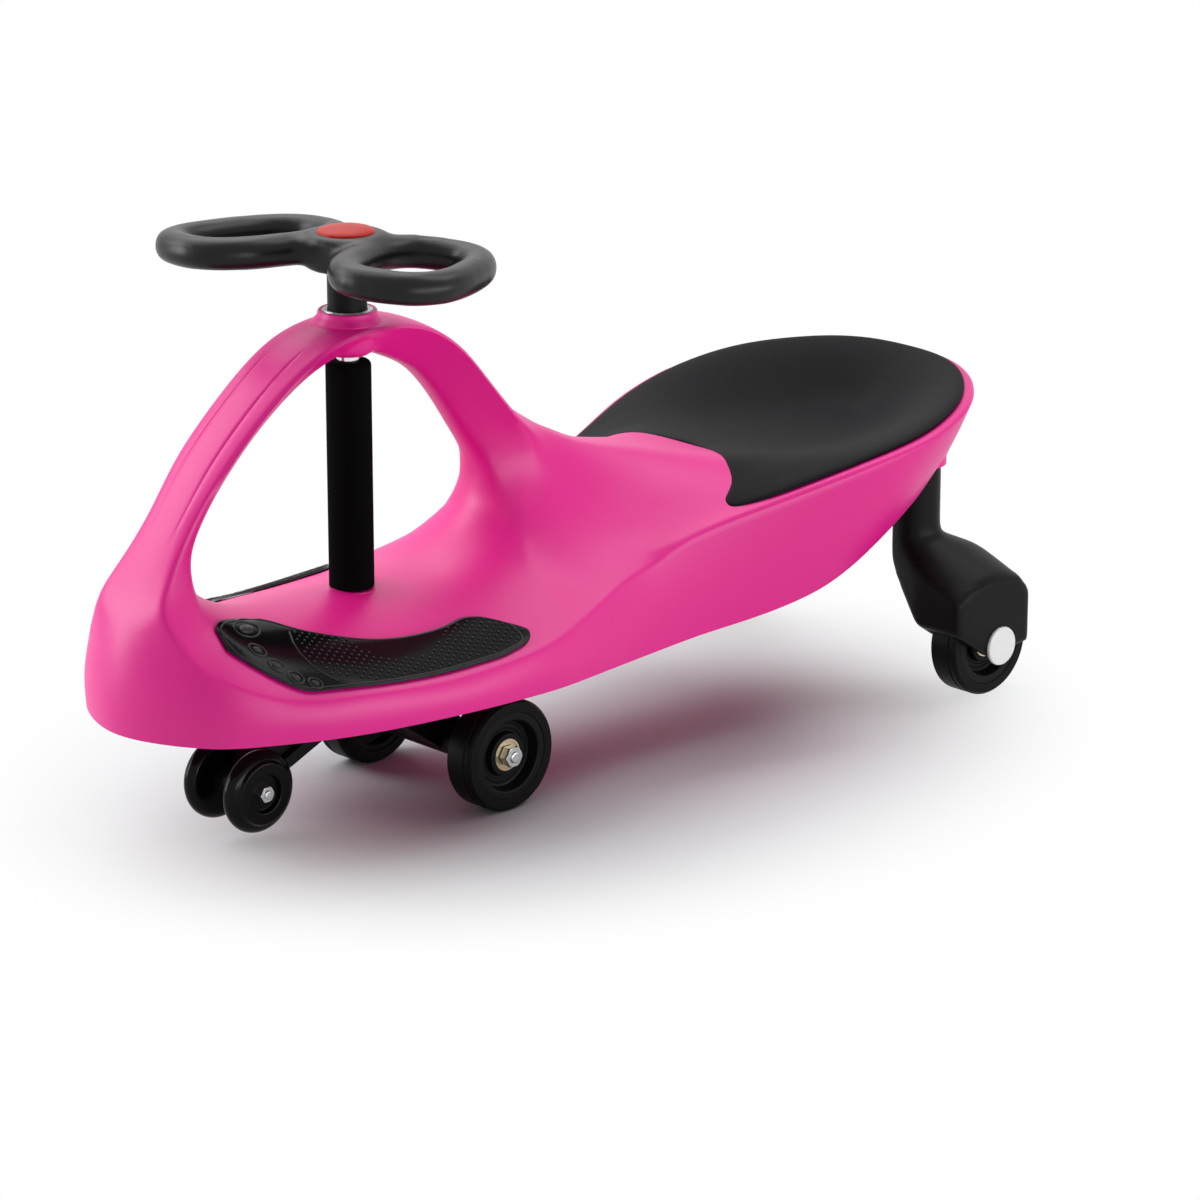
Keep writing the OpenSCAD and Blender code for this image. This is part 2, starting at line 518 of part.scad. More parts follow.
// Wheels: sections of radius and height along the axle, outer face upwards
wheel_r = wheel_d / 2;
tyre_r = wheel_r - tyre_depth;
half_w = wheel_width / 2;
bearing_mid = 1;
hub_half = bearing_mid + bearing_width;
rim_wall = 4;
web_half = 3;
hub_wall = 4;
bearing_lip = 2;
shoulder = 2.5;
groove_depth = 1.2;
main_nut_h = 6.5;
main_nut_flats = 13;
main_nut_d = main_nut_flats / cos(30);
safety_r = safety_d / 2;
safety_half = safety_width / 2;
safety_recess = 4;
tread_round = 9;
safety_nut_h = 5;
safety_nut_flats = 10;
safety_nut_d = safety_nut_flats / cos(30);
tip = 1.5;
main_nut_y = front_track / 2 + hub_half + side_gap;
safety_nut_y = safety_track / 2 + safety_half - safety_recess + side_gap;
module on_axle(x, y, z, side) translate([x, side * y, z]) rotate([-90 * side, 0, 0]) children();
module ring(inner, outer, low, high) {
    translate([0, 0, low]) difference() {
        cylinder(r = outer, h = high - low, $fn = 64);
        translate([0, 0, -1]) cylinder(r = inner, h = high - low + 2, $fn = 64);
    }
}
module wheel_hub() {
    b = bearing_d / 2;
    rotate_extrude($fn = 72) polygon([
        [b - bearing_lip, -bearing_mid], [b, -bearing_mid], [b, -hub_half], [b + hub_wall, -hub_half],
        [b + hub_wall, -web_half], [tyre_r - rim_wall, -web_half], [tyre_r - rim_wall, 1 - half_w],
        [tyre_r, 1 - half_w], [tyre_r, half_w - 1], [tyre_r - rim_wall, half_w - 1],
        [tyre_r - rim_wall - 1.5, web_half], [b + hub_wall, web_half], [b + hub_wall - 0.5, hub_half],
        [b, hub_half], [b, bearing_mid], [b - bearing_lip, bearing_mid]]);
}
module tyre() {
    r = tyre_r + seat_gap;
    g = half_w / 2;
    rotate_extrude($fn = 72) polygon([
        [r, -half_w], [wheel_r - shoulder, -half_w], [wheel_r - 0.6, 0.8 - half_w],
        [wheel_r, shoulder - half_w], [wheel_r, g - 1], [wheel_r - groove_depth, g - 0.4],
        [wheel_r - groove_depth, g + 0.4], [wheel_r, g + 1], [wheel_r, half_w - shoulder],
        [wheel_r - 0.6, half_w - 0.8], [wheel_r - shoulder, half_w], [r, half_w]]);
}
module bearing(side) {
    a = axle_d / 2 + running_gap;
    b = bearing_d / 2 - seat_gap;
    w = bearing_width - seat_gap;
    shield = 0.5;
    race = 1.6;
    mirror([0, 0, side < 0 ? 1 : 0]) translate([0, 0, bearing_mid + seat_gap])
        rotate_extrude($fn = 64) polygon([
            [a, 0], [b, 0], [b, w], [b - race, w], [b - race - 0.2, w - shield],
            [a + race + 0.2, w - shield], [a + race, w], [a, w]]);
}
module bearings() {
    for (side = [-1, 1]) bearing(side);
}
module hex_nut(across, bore, h) {
    difference() {
        intersection() {
            cylinder(d = across, h = h, $fn = 6);
            translate([0, 0, h - across / 2])
                cylinder(d1 = 2.4 * across, d2 = 0.9 * across, h = across / 2, $fn = 48);
        }
        translate([0, 0, -1]) cylinder(d = bore + 2 * seat_gap, h = h + 2, $fn = 48);
    }
}
module safety_wheel() {
    bore = safety_axle_d / 2 + running_gap;
    floor = safety_half - safety_recess;
    edge = safety_r - tread_round;
    crown = [for (a = [-60:20:70]) [edge + tread_round * cos(a), -1.2 + safety_half * 0.92 * sin(a)]];
    rotate_extrude($fn = 72) polygon(concat(
        [[bore, -safety_half], [edge + 1, -safety_half]],
        crown,
        [[edge + 1.5, safety_half], [safety_r / 2 - 1, safety_half],
            [safety_r / 2 - 2, floor], [bore, floor]]));
}

// The front truck: a hub on the column with an arm back to the main axle and one forward to the safety axle
main_boss_d = 26;
spigot_d = 13;
safety_boss_d = 20;
rear_arm_half = 22;
front_arm_half = 10;
pocket_depth = 6;
main_boss_half = front_track / 2 - half_w - side_gap;
spigot_half = front_track / 2 - hub_half - side_gap;
safety_boss_half = safety_track / 2 - safety_half - side_gap;
module along_y(half, points) {
    translate([0, half, 0]) rotate([90, 0, 0]) linear_extrude(2 * half) polygon(points);
}
module cross_rod(d, half) {
    rotate([90, 0, 0]) cylinder(d = d, h = 2 * half, center = true, $fn = 64);
}

// The rear struts: a post in the shell's socket and a housing over the wheel
post_bottom_z = 92;
socket_wall = 3.5;
socket_top_z = seat_dish_z - 1;
socket_lift = 47;
socket_bottom_z = skirt_bottom_z + socket_lift;
socket_roof = 4;
post_top_z = socket_top_z - socket_roof - side_gap;
well_side = 1;
well_top = 2.5;
outer_cheek = 9;
inner_cheek = 7;
well_half = half_w + well_side;
well_r = wheel_r + well_top;
cheek_out = wheel_y + half_w + outer_cheek;
cheek_in = wheel_y - half_w - inner_cheek;
cap_h = 3;
housing_face = [
    [45, 16.5], [45, 39.5], [28, 47.5], [12, 51.5], [-7, 50.2], [-23, 45.2], [-32, 33.5], [-32, -4],
    [11, -6.5]];
housing_back = [
    [46, 17], [46, 55], [28, 70], [8, 72], [-14, 66], [-28, 54], [-31, 36], [-31, -4], [11, -6.5]];
module housing_slice(points, y) {
    translate([-rear_axle_back, y, axle_z]) rotate([90, 0, 0]) linear_extrude(2) polygon(points);
}

module from_column() translate([column_x, 0, 0]) children();
module rod(d, low, high) translate([0, 0, low]) cylinder(d = d, h = high - low, $fn = 64);

module body_shell() {
    color("deeppink") from_column() difference() {
        union() {
            mirrored_solid(half_skin, half_faces);
            rod(collar_d, collar_top_z - collar_depth, collar_top_z);
            rod(deck_boss_d, deck_boss_z, crest_z - 1.5);
            for (side = [-1, 1]) translate([-post_back, side * post_side, 0])
                rod(post_d + 2 * socket_wall, socket_bottom_z, socket_top_z);
        }
        rod(upper_bush_d + 2 * seat_gap, collar_top_z - upper_bush_depth, collar_top_z + cut_past);
        rod(stem_d + 2 * stem_gap, collar_top_z - collar_depth - cut_past, collar_top_z);
        rod(lower_bush_d + 2 * seat_gap, deck_boss_z - cut_past, crest_z + cut_past);
        for (side = [-1, 1]) translate([-post_back, side * post_side, 0])
            rod(post_d + 2 * seat_gap, socket_bottom_z - cut_past, socket_top_z - socket_roof);
    }
}
module seat_pad() {
    color("dimgray") from_column() mirrored_solid(concat(flat(pad_top), flat(pad_bottom)), pad_faces);
}
module foot_pad() {
    n = foot_stations + 1;
    m = len(foot_across);
    polyhedron(
        points = concat(flat(foot_top), flat(foot_bottom)),
        faces = slab_faces(n, m, border(n, m)),
        convexity = 6);
}
module foot_pad_left() {
    color("dimgray") from_column() foot_pad();
}
module foot_pad_right() {
    color("dimgray") from_column() mirror([0, 1, 0]) foot_pad();
}
module upper_bush() {
    color("silver") from_column()
        ring(stem_d / 2 + running_gap, upper_bush_d / 2, collar_top_z - upper_bush_depth, collar_top_z + 0.5);
}
module lower_bush() {
    color("white") from_column() difference() {
        union() {
            rod(lower_bush_d, deck_boss_z, crest_z);
            rod(deck_boss_d, deck_boss_z - bush_flange, deck_boss_z);
        }
        rod(column_d + 2 * running_gap, deck_boss_z - cut_past, crest_z + cut_past);
    }
}
module steering_column() {
    color("silver") from_column() difference() {
        rod(column_d, column_bottom_z, column_top_z);
        rod(column_d - 2 * column_wall, column_bottom_z - 1, column_top_z - bolt_plug);
        rod(wheel_bolt_d + 2 * seat_gap, column_top_z - bolt_plug - 1, column_top_z + 1);
        translate([0, 0, cross_bolt_z]) cross_rod(cross_bolt_d + 2 * seat_gap, column_d);
    }
}
module column_sleeve() {
    r = sleeve_d / 2;
    color("black") from_column() difference() {
        rotate_extrude($fn = 64) polygon(concat(
            [[0, sleeve_bottom_z]],
            [for (a = [-90:30:0]) [r - sleeve_round / 2 + sleeve_round / 2 * cos(a),
                sleeve_bottom_z + sleeve_round / 2 + sleeve_round / 2 * sin(a)]],
            [for (a = [0:22.5:90]) [r - sleeve_round + sleeve_round * cos(a),
                sleeve_top_z - sleeve_round + sleeve_round * sin(a)]],
            [[0, sleeve_top_z]]));
        rod(column_d + 2 * seat_gap, sleeve_bottom_z - 1, sleeve_top_z + 1);
    }
}
module column_stem() {
    color("black") from_column() difference() {
        rod(stem_d, stem_bottom_z, stem_top_z);
        rod(column_d + 2 * seat_gap, stem_bottom_z - 1, stem_top_z + 1);
    }
}
module steering_wheel() {
    color("dimgray") from_column() rotate([0, 0, wheel_setting]) difference() {
        union() {
            for (side = [0, 1]) mirror([0, side, 0]) wheel_loop();
            wheel_web();
            rod(wheel_hub_d, hub_bottom_z, hub_top_z);
        }
        rod(column_d + 2 * seat_gap, hub_bottom_z - 1, column_top_z + seat_gap);
        rod(wheel_bolt_d + 2 * seat_gap, hub_bottom_z, hub_top_z + 1);
        rod(cap_socket_d, cap_socket_z, hub_top_z + 1);
    }
}
module wheel_bolt() {
    color("silver") from_column() union() {
        rod(wheel_bolt_d, column_top_z - bolt_plug + 2, cap_socket_z + 1);
        translate([0, 0, cap_socket_z]) cylinder(d = main_nut_d, h = bolt_head_h, $fn = 6);
    }
}
module wheel_cap() {
    r = wheel_cap_d / 2;
    color("orangered") from_column() union() {
        rotate_extrude($fn = 72) polygon(concat(
            [[0, hub_top_z + seat_gap], [r, hub_top_z + seat_gap]],
            [for (a = [10:20:90]) [r * cos(a), hub_top_z + seat_gap + cap_rise * sin(a)]]));
        ring(cap_socket_d / 2 - 2, cap_socket_d / 2 - seat_gap, cap_socket_z + 1, hub_top_z + 0.5);
    }
}
module axle_carrier() {
    hub_r = truck_hub_d / 2;
    color("black") from_column() difference() {
        union() {
            rod(truck_hub_d, truck_bottom_z, truck_top_z);
            translate([-front_trail, 0, axle_z]) cross_rod(main_boss_d, main_boss_half);
            translate([-front_trail, 0, axle_z]) cross_rod(spigot_d, spigot_half);
            translate([safety_reach, 0, safety_z]) cross_rod(safety_boss_d, safety_boss_half);
            along_y(rear_arm_half, [[-hub_r / 2, truck_top_z - 6], [-hub_r / 2, truck_bottom_z + 6],
                [3 - front_trail, axle_z - 12], [-front_trail - 11, axle_z + 7]]);
            along_y(front_arm_half, [[hub_r / 2, truck_top_z - 10], [safety_reach + 5, safety_z + 8.5],
                [safety_reach - 4, safety_z - 9], [hub_r / 2, truck_bottom_z + 8]]);
        }
        for (side = [-1, 1]) translate([0, side * front_arm_half, 0])
            along_y(pocket_depth, [[hub_r + 3, truck_top_z - 22], [safety_reach - 14, safety_z + 13],
                [safety_reach - 16, safety_z + 4], [hub_r + 3, truck_bottom_z + 13]]);
        rod(column_d + 2 * seat_gap, truck_bottom_z - 1, truck_top_z + 1);
        translate([0, 0, cross_bolt_z]) cross_rod(cross_bolt_d + 2 * seat_gap, truck_hub_d);
        translate([-front_trail, 0, axle_z]) cross_rod(axle_d + 2 * seat_gap, front_track);
        translate([safety_reach, 0, safety_z]) cross_rod(safety_axle_d + 2 * seat_gap, safety_track);
    }
}
module carrier_bolt() {
    head = truck_hub_d / 2;
    color("silver") from_column() translate([0, 0, cross_bolt_z]) union() {
        cross_rod(cross_bolt_d, head + 1);
        for (side = [-1, 1]) on_axle(0, head, 0, side) cylinder(d = safety_nut_d, h = safety_nut_h, $fn = 6);
    }
}
module front_axle() {
    color("silver") from_column() translate([-front_trail, 0, axle_z])
        cross_rod(axle_d, main_nut_y + main_nut_h + tip);
}
module front_nuts() {
    color("silver") from_column() for (side = [-1, 1])
        on_axle(-front_trail, main_nut_y, axle_z, side)
            hex_nut(main_nut_d, axle_d, main_nut_h);
}
module safety_axle() {
    color("silver") from_column() translate([safety_reach, 0, safety_z])
        cross_rod(safety_axle_d, safety_nut_y + safety_nut_h + tip);
}
module safety_nuts() {
    color("silver") from_column() for (side = [-1, 1])
        on_axle(safety_reach, safety_nut_y, safety_z, side)
            hex_nut(safety_nut_d, safety_axle_d, safety_nut_h);
}
module front_wheel_place(side) from_column() on_axle(-front_trail, front_track / 2, axle_z, side) children();
module rear_wheel_place(side) from_column() on_axle(-rear_axle_back, wheel_y, axle_z, side) children();
module safety_place(side) from_column() on_axle(safety_reach, safety_track / 2, safety_z, side) children();
module front_hub_left() color("black") front_wheel_place(1) wheel_hub();
module front_hub_right() color("black") front_wheel_place(-1) wheel_hub();
module front_tyre_left() color("dimgray") front_wheel_place(1) tyre();
module front_tyre_right() color("dimgray") front_wheel_place(-1) tyre();
module front_bearings_left() color("goldenrod") front_wheel_place(1) bearings();
module front_bearings_right() color("goldenrod") front_wheel_place(-1) bearings();
module safety_wheel_left() color("black") safety_place(1) safety_wheel();
module safety_wheel_right() color("black") safety_place(-1) safety_wheel();
module rear_hub_left() color("black") rear_wheel_place(1) wheel_hub();
module rear_hub_right() color("black") rear_wheel_place(-1) wheel_hub();
module rear_tyre_left() color("dimgray") rear_wheel_place(1) tyre();
module rear_tyre_right() color("dimgray") rear_wheel_place(-1) tyre();
module rear_bearings_left() color("goldenrod") rear_wheel_place(1) bearings();
module rear_bearings_right() color("goldenrod") rear_wheel_place(-1) bearings();

module rear_strut() {
    difference() {
        union() {
            translate([-post_back, post_side, 0]) rod(post_d, post_bottom_z + 10, post_top_z);
            hull() {
                translate([-post_back, post_side, post_bottom_z]) cylinder(d = post_d, h = 22, $fn = 32);
                housing_slice(housing_face, cheek_out);
                housing_slice(housing_back, cheek_in + 2);
            }
        }
        on_axle(-rear_axle_back, wheel_y, axle_z, 1) translate([0, 0, -well_half])
            cylinder(r = well_r, h = 2 * well_half, $fn = 64);
        translate([-rear_axle_back - well_r, wheel_y - well_half, -1])
            cube([2 * well_r, 2 * well_half, axle_z + 1]);
        translate([-rear_axle_back, wheel_y, axle_z]) cross_rod(axle_d + 2 * seat_gap, wheel_y);
    }
}
module rear_axle() {
    translate([-rear_axle_back, (cheek_in + cheek_out) / 2, axle_z])
        cross_rod(axle_d, (cheek_out - cheek_in) / 2);
}
module axle_cap() {
    r = axle_cap_d / 2;
    on_axle(-rear_axle_back, cheek_out + seat_gap, axle_z, 1) rotate_extrude($fn = 64) polygon([
        [0, 0], [r - 0.4, 0], [r, 0.4], [r, cap_h - 1.2], [r - 0.5, cap_h - 0.4], [r - 1.6, cap_h],
        [0, cap_h]]);
}
module rear_strut_left() color("dimgray") from_column() rear_strut();
module rear_strut_right() color("dimgray") from_column() mirror([0, 1, 0]) rear_strut();
module rear_axle_left() color("silver") from_column() rear_axle();
module rear_axle_right() color("silver") from_column() mirror([0, 1, 0]) rear_axle();
module axle_cap_left() color("white") from_column() axle_cap();
module axle_cap_right() color("white") from_column() mirror([0, 1, 0]) axle_cap();

body_shell();
seat_pad();
foot_pad_left();
foot_pad_right();
upper_bush();
lower_bush();
steering_column();
column_sleeve();
column_stem();
steering_wheel();
wheel_bolt();
wheel_cap();
axle_carrier();
carrier_bolt();
front_axle();
front_nuts();
safety_axle();
safety_nuts();
front_hub_left();
front_tyre_left();
front_bearings_left();
front_hub_right();
front_tyre_right();
front_bearings_right();
safety_wheel_left();
safety_wheel_right();
rear_strut_left();
rear_axle_left();
axle_cap_left();
rear_hub_left();
rear_tyre_left();
rear_bearings_left();
rear_strut_right();
rear_axle_right();
axle_cap_right();
rear_hub_right();
rear_tyre_right();
rear_bearings_right();
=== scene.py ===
"""Looks of a wiggle car: a pink moulded shell on small wheels, with a looped steering wheel and a dished seat."""
import math

import bmesh
import bpy
from mathutils import Matrix, Vector
from mathutils.bvhtree import BVHTree


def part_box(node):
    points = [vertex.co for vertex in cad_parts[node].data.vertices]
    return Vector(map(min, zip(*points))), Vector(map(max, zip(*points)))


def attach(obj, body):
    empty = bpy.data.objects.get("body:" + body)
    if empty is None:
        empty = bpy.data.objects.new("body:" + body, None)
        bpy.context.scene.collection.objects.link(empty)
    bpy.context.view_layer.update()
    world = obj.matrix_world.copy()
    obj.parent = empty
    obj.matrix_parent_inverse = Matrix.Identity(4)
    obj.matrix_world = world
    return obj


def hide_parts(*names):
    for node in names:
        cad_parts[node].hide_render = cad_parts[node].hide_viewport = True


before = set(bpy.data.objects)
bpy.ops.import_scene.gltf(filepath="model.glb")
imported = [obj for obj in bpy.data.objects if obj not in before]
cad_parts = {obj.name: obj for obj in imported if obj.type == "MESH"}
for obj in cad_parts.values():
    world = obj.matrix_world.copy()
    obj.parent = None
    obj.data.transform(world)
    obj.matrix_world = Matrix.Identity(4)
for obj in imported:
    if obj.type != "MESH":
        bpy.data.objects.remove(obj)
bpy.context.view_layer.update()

# Camera: the car is seen from its front left, a little above the seat, through a long lens.
# All places below count from the steering column, whose middle is at column_x.
column_x = (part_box("steering_column")[0].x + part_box("steering_column")[1].x) / 2
camera_place = (column_x + 2.01396, 2.31278, 1.12979)
line_of_sight = Vector((-0.6626, -0.6836, -0.3061))
camera = bpy.data.objects.new("camera", bpy.data.cameras.new("camera"))
camera.data.sensor_width = 36
camera.data.lens = 146.28
camera.location = camera_place
camera.rotation_euler = line_of_sight.to_track_quat("-Z", "Y").to_euler()
bpy.context.scene.collection.objects.link(camera)
bpy.context.scene.camera = camera


# Body shell: one hollow moulding of pink polypropylene, satin with a faint grain from the mould.
# The nose runs up into the arch, over the collar and down the hump into the seat, and two fine
# grooves run down the front of the arch from the collar.
class Shade:
    """A socket in a material's tree. Sums with it add Math nodes, and node() adds any other kind."""

    def __init__(self, tree, socket=None):
        self.tree = tree
        self.socket = socket

    def node(self, kind, settings=None, sockets=None, out=0):
        made = self.tree.nodes.new(kind)
        for name, value in (settings or {}).items():
            setattr(made, name, value)
        for name, value in (sockets or {}).items():
            if isinstance(value, Shade):
                self.tree.links.new(value.socket, made.inputs[name])
            else:
                made.inputs[name].default_value = value
        return Shade(self.tree, made.outputs[out]) if made.outputs else made

    def math(self, operation, first, second):
        return self.node("ShaderNodeMath", {"operation": operation}, {0: first, 1: second})

    def __add__(self, other):
        return self.math("ADD", self, other)

    def __radd__(self, other):
        return self.math("ADD", other, self)

    def __sub__(self, other):
        return self.math("SUBTRACT", self, other)

    def __rsub__(self, other):
        return self.math("SUBTRACT", other, self)

    def __mul__(self, other):
        return self.math("MULTIPLY", self, other)

    def __rmul__(self, other):
        return self.math("MULTIPLY", other, self)

    def noise(self, scale, detail):
        place = self.node("ShaderNodeTexCoord", out="Object")
        return self.node("ShaderNodeTexNoise", None, {"Vector": place, "Scale": scale, "Detail": detail})

    def tint(self, factor, first, second):
        colours = {0: factor, 6: (*first, 1), 7: (*second, 1)}
        return self.node("ShaderNodeMix", {"data_type": "RGBA"}, colours, out=2)


def surface(name):
    """A new material, the start of its node tree and its Principled shader."""
    made = bpy.data.materials.new(name)
    made.use_nodes = True
    return made, Shade(made.node_tree), made.node_tree.nodes["Principled BSDF"]


def feed(shade, shader, colour, roughness, height=None, depth=0.0):
    """Links what varies over a surface: colour, roughness and the height of a fine relief."""
    shade.tree.links.new(colour.socket, shader.inputs["Base Color"])
    shade.tree.links.new(roughness.socket, shader.inputs["Roughness"])
    if height is not None:
        bump = shade.node("ShaderNodeBump", None, {"Height": height, "Distance": depth, "Strength": 1.0})
        shade.tree.links.new(bump.socket, shader.inputs["Normal"])


def moulded(name, colour, second, rough, spread, grain_scale, grain_depth, specular):
    """Moulded plastic: two close colours in soft clouds, uneven gloss and the mould's grain."""
    made, shade, shader = surface(name)
    clouds = shade.noise(scale=9.0, detail=2.0)
    grain = shade.noise(grain_scale, detail=3.0)
    feed(shade, shader, shade.tint(clouds, colour, second), rough + spread * (grain - 0.5), grain, grain_depth)
    shader.inputs["Specular IOR Level"].default_value = specular
    return made


weld = 0.00001


def cad_copy(node):
    """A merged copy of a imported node's mesh, ready for the mesh operators."""
    copy = bmesh.new()
    copy.from_mesh(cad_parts[node].data)
    bmesh.ops.remove_doubles(copy, verts=copy.verts, dist=weld)
    return copy


def pair_up(work):
    """Joins triangles back into four-sided faces."""
    bmesh.ops.join_triangles(
        work, faces=work.faces, angle_face_threshold=math.radians(40), angle_shape_threshold=math.radians(120))


def soften(work, verts, rounds, upright=True):
    """Smooths points by moving each halfway to its neighbours, in plan alone if not upright."""
    for _ in range(rounds):
        bmesh.ops.smooth_vert(
            work, verts=verts, factor=0.5, use_axis_x=True, use_axis_y=True, use_axis_z=upright)


def held(value):
    """Holds a value between 0 and 1."""
    return min(1.0, max(0.0, value))


def piece(work, name, body, material, slot, *nodes, levels=0):
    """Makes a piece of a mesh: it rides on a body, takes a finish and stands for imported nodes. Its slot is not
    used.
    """
    mesh = bpy.data.meshes.new(name)
    for face in work.faces:
        face.smooth = True
    work.to_mesh(mesh)
    work.free()
    made = bpy.data.objects.new(name, mesh)
    bpy.context.scene.collection.objects.link(made)
    mesh.materials.append(material)
    if levels:
        smooth = made.modifiers.new("smooth", "SUBSURF")
        smooth.levels = levels
        smooth.render_levels = levels
    else:
        made.modifiers.new("even_gloss", "WEIGHTED_NORMAL")
    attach(made, body)
    if nodes:
        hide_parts(*nodes)
    return made


pink = moulded(
    "pink_polypropylene", (0.79, 0.007, 0.265), (0.75, 0.006, 0.245), rough=0.42, spread=0.10,
    grain_scale=1400, grain_depth=0.00001, specular=0.46)
shell = cad_copy("body_shell")
pair_up(shell)
shell.normal_update()

# Where the arch runs into hump and nose its skin is smoothed, in boxes of millimetres from the column.
faces_down = -0.95
soft_boxes = [
    ((-170, 0, 152), (-60, 74, 240), 2), ((-145, 0, 152), (-58, 66, 215), 5), ((-205, 26, 146), (-80, 90, 200), 4),
    ((105, 0, 162), (168, 50, 215), 4), ((92, 0, 160), (174, 50, 252), 3), ((118, 0, 180), (165, 32, 245), 4)]
for low, high, rounds in soft_boxes:
    inside = [
        vert for vert in shell.verts
        if low[0] < (vert.co.x - column_x) * 1000 < high[0] and low[1] <= abs(vert.co.y) * 1000 < high[1]
        and low[2] < vert.co.z * 1000 < high[2] and vert.normal.z > faces_down]
    soften(shell, inside, rounds)

# The mouths of the strut sockets are raised into the skin, and the boss under the arch tapers.
socket_x, socket_y, socket_radius = column_x - 0.4555, 0.088, 0.022
mouth_low, mouth_high, mouth_raised = 0.1465, 0.1475, 0.166
boss_low, boss_high, boss_in, boss_out = 0.313, 0.3145, 0.0185, 0.0195
boss_taper, boss_lift = 0.82, 0.0012
for vert in shell.verts:
    from_socket = math.hypot(vert.co.x - socket_x, abs(vert.co.y) - socket_y)
    from_column = math.hypot(vert.co.x - column_x, vert.co.y)
    if mouth_low < vert.co.z < mouth_high and from_socket < socket_radius:
        vert.co.z = mouth_raised
    if boss_in < from_column < boss_out and boss_low < vert.co.z < boss_high:
        vert.co.x = column_x + (vert.co.x - column_x) * boss_taper
        vert.co.y *= boss_taper
        vert.co.z += boss_lift

# The grooves are cut along two lines on the arch's front, and fade out towards the nose.
groove_side, groove_width, groove_depth = 0.0125, 0.0011, 0.0011
groove_from, groove_to, groove_fade = column_x + 0.024, column_x + 0.165, 0.05
groove_low, front_margin, front_half = 0.19, 0.02, 0.03


def on_front(face):
    """Whether a face lies on the front of the arch, above the nose."""
    middle = face.calc_center_median()
    return (
        face.normal.x > 0.12 and face.normal.z > 0.1 and abs(face.normal.y) < 0.75
        and groove_from < middle.x < groove_to + front_margin and middle.z > groove_low
        and abs(middle.y) < front_half)


def in_groove(vert):
    """Whether a point lies on one of the two lines, on the arch's front."""
    return (
        abs(abs(vert.co.y) - groove_side) < 0.00003 and vert.normal.x > 0.05 and vert.co.z > groove_low
        and groove_from < vert.co.x < groove_to)


for side in (1, -1):
    front = [part for face in shell.faces if on_front(face) for part in (face, *face.edges, *face.verts)]
    bmesh.ops.bisect_plane(
        shell, geom=list(dict.fromkeys(front)), dist=weld, plane_co=(0, side * groove_side, 0), plane_no=(0, 1, 0))
shell.normal_update()
groove_edges = [edge for edge in shell.edges if all(in_groove(vert) for vert in edge.verts)]
cut = bmesh.ops.bevel(
    shell, geom=groove_edges, offset=groove_width, segments=2, profile=0.5, affect="EDGES", material=-1)
shell.normal_update()
for vert in {vert for face in cut["faces"] for vert in face.verts}:
    if abs(abs(vert.co.y) - groove_side) < 0.0003:
        vert.co -= vert.normal * groove_depth * held((groove_to - vert.co.x) / groove_fade)

# Rims and cut edges stay sharp, edges along the deck's sides stay firm, and the foot of the arch's leg is soft.
sharp_bend, soft_bend = 62, 26
crease = shell.edges.layers.float.new("crease_edge")
for edge in shell.edges:
    bend = math.degrees(edge.calc_face_angle(0))
    leg_foot = all(vert.co.x > column_x + 0.1 and 0.163 < vert.co.z < 0.222 for vert in edge.verts)
    low_side = all(abs(vert.co.y) > 0.06 and vert.co.z < 0.2 for vert in edge.verts)
    if bend > sharp_bend:
        edge[crease] = 1
        edge.smooth = False
    elif bend > soft_bend and not leg_foot:
        edge[crease] = 0.65 if low_side else 0.3
skin = piece(shell, "moulded_shell", "root", pink, "shell_pink", "body_shell", levels=2)


# Collar: the round boss in which the arch holds the steel ring, moulded with the shell.
# Its rim stands a little above the arch on a soft fillet, and its rounded end shows under the arch.
def ease_corners(work, least_bend, offset, rounds):
    """Rounds the edges of a mesh that bend by more than an angle in degrees."""
    corners = [edge for edge in work.edges if edge.calc_face_angle(0) > math.radians(least_bend)]
    bmesh.ops.bevel(
        work, geom=corners, offset=offset, segments=rounds, profile=0.5, affect="EDGES", material=-1,
        clamp_overlap=True)


def turned(profile, place, axis, ease=0.0005):
    """Turns a closed section of (radius, height) in millimetres about an axis and eases its corners."""
    work = bmesh.new()
    ring = [work.verts.new((radius / 1000, 0, height / 1000)) for radius, height in profile]
    edges = [work.edges.new(pair) for pair in zip(ring, ring[1:] + ring[:1])]
    bmesh.ops.spin(
        work, geom=ring + edges, cent=(0, 0, 0), axis=(0, 0, 1), angle=2 * math.pi, steps=72, use_merge=True)
    bmesh.ops.remove_doubles(work, verts=work.verts, dist=0.000001)
    bmesh.ops.dissolve_degenerate(work, edges=work.edges, dist=0.000001)
    bmesh.ops.recalc_face_normals(work, faces=work.faces)
    ease_corners(work, 24, ease, 2)
    turn = Vector((0, 0, 1)).rotation_difference(Vector(axis)).to_matrix().to_4x4()
    bmesh.ops.transform(work, matrix=Matrix.Translation(place) @ turn, verts=work.verts)
    return work


upright = (0, 0, 1)
column_foot = (column_x, 0, 0)
collar_section = [
    (16.7, 325), (16.7, 342.6), (17.3, 343.3), (18.5, 343.4), (19.3, 342.8), (19.6, 341.4), (20.0, 339.9),
    (20.8, 338.6), (22.0, 337.5), (23.4, 336), (22.6, 331), (20.4, 326), (19.6, 322.5), (19.2, 320),
    (18.3, 317.6), (16.9, 315.8), (15.4, 315), (14.1, 315), (14.1, 325)]
piece(turned(collar_section, column_foot, upright, 0.0003), "collar_boss", "root", pink, "shell_pink")

# Seat pad: a soft black mat of foamed rubber laid in the dish, matt with a fine pebble grain and a rolled edge.
# Its front is cut round the tongue of the hump, and the edge of that cut lies on the shell.
seat_black = moulded(
    "seat_foam_rubber", (0.004, 0.004, 0.005), (0.006, 0.006, 0.007), rough=0.52, spread=0.2,
    grain_scale=900, grain_depth=0.00012, specular=0.06)
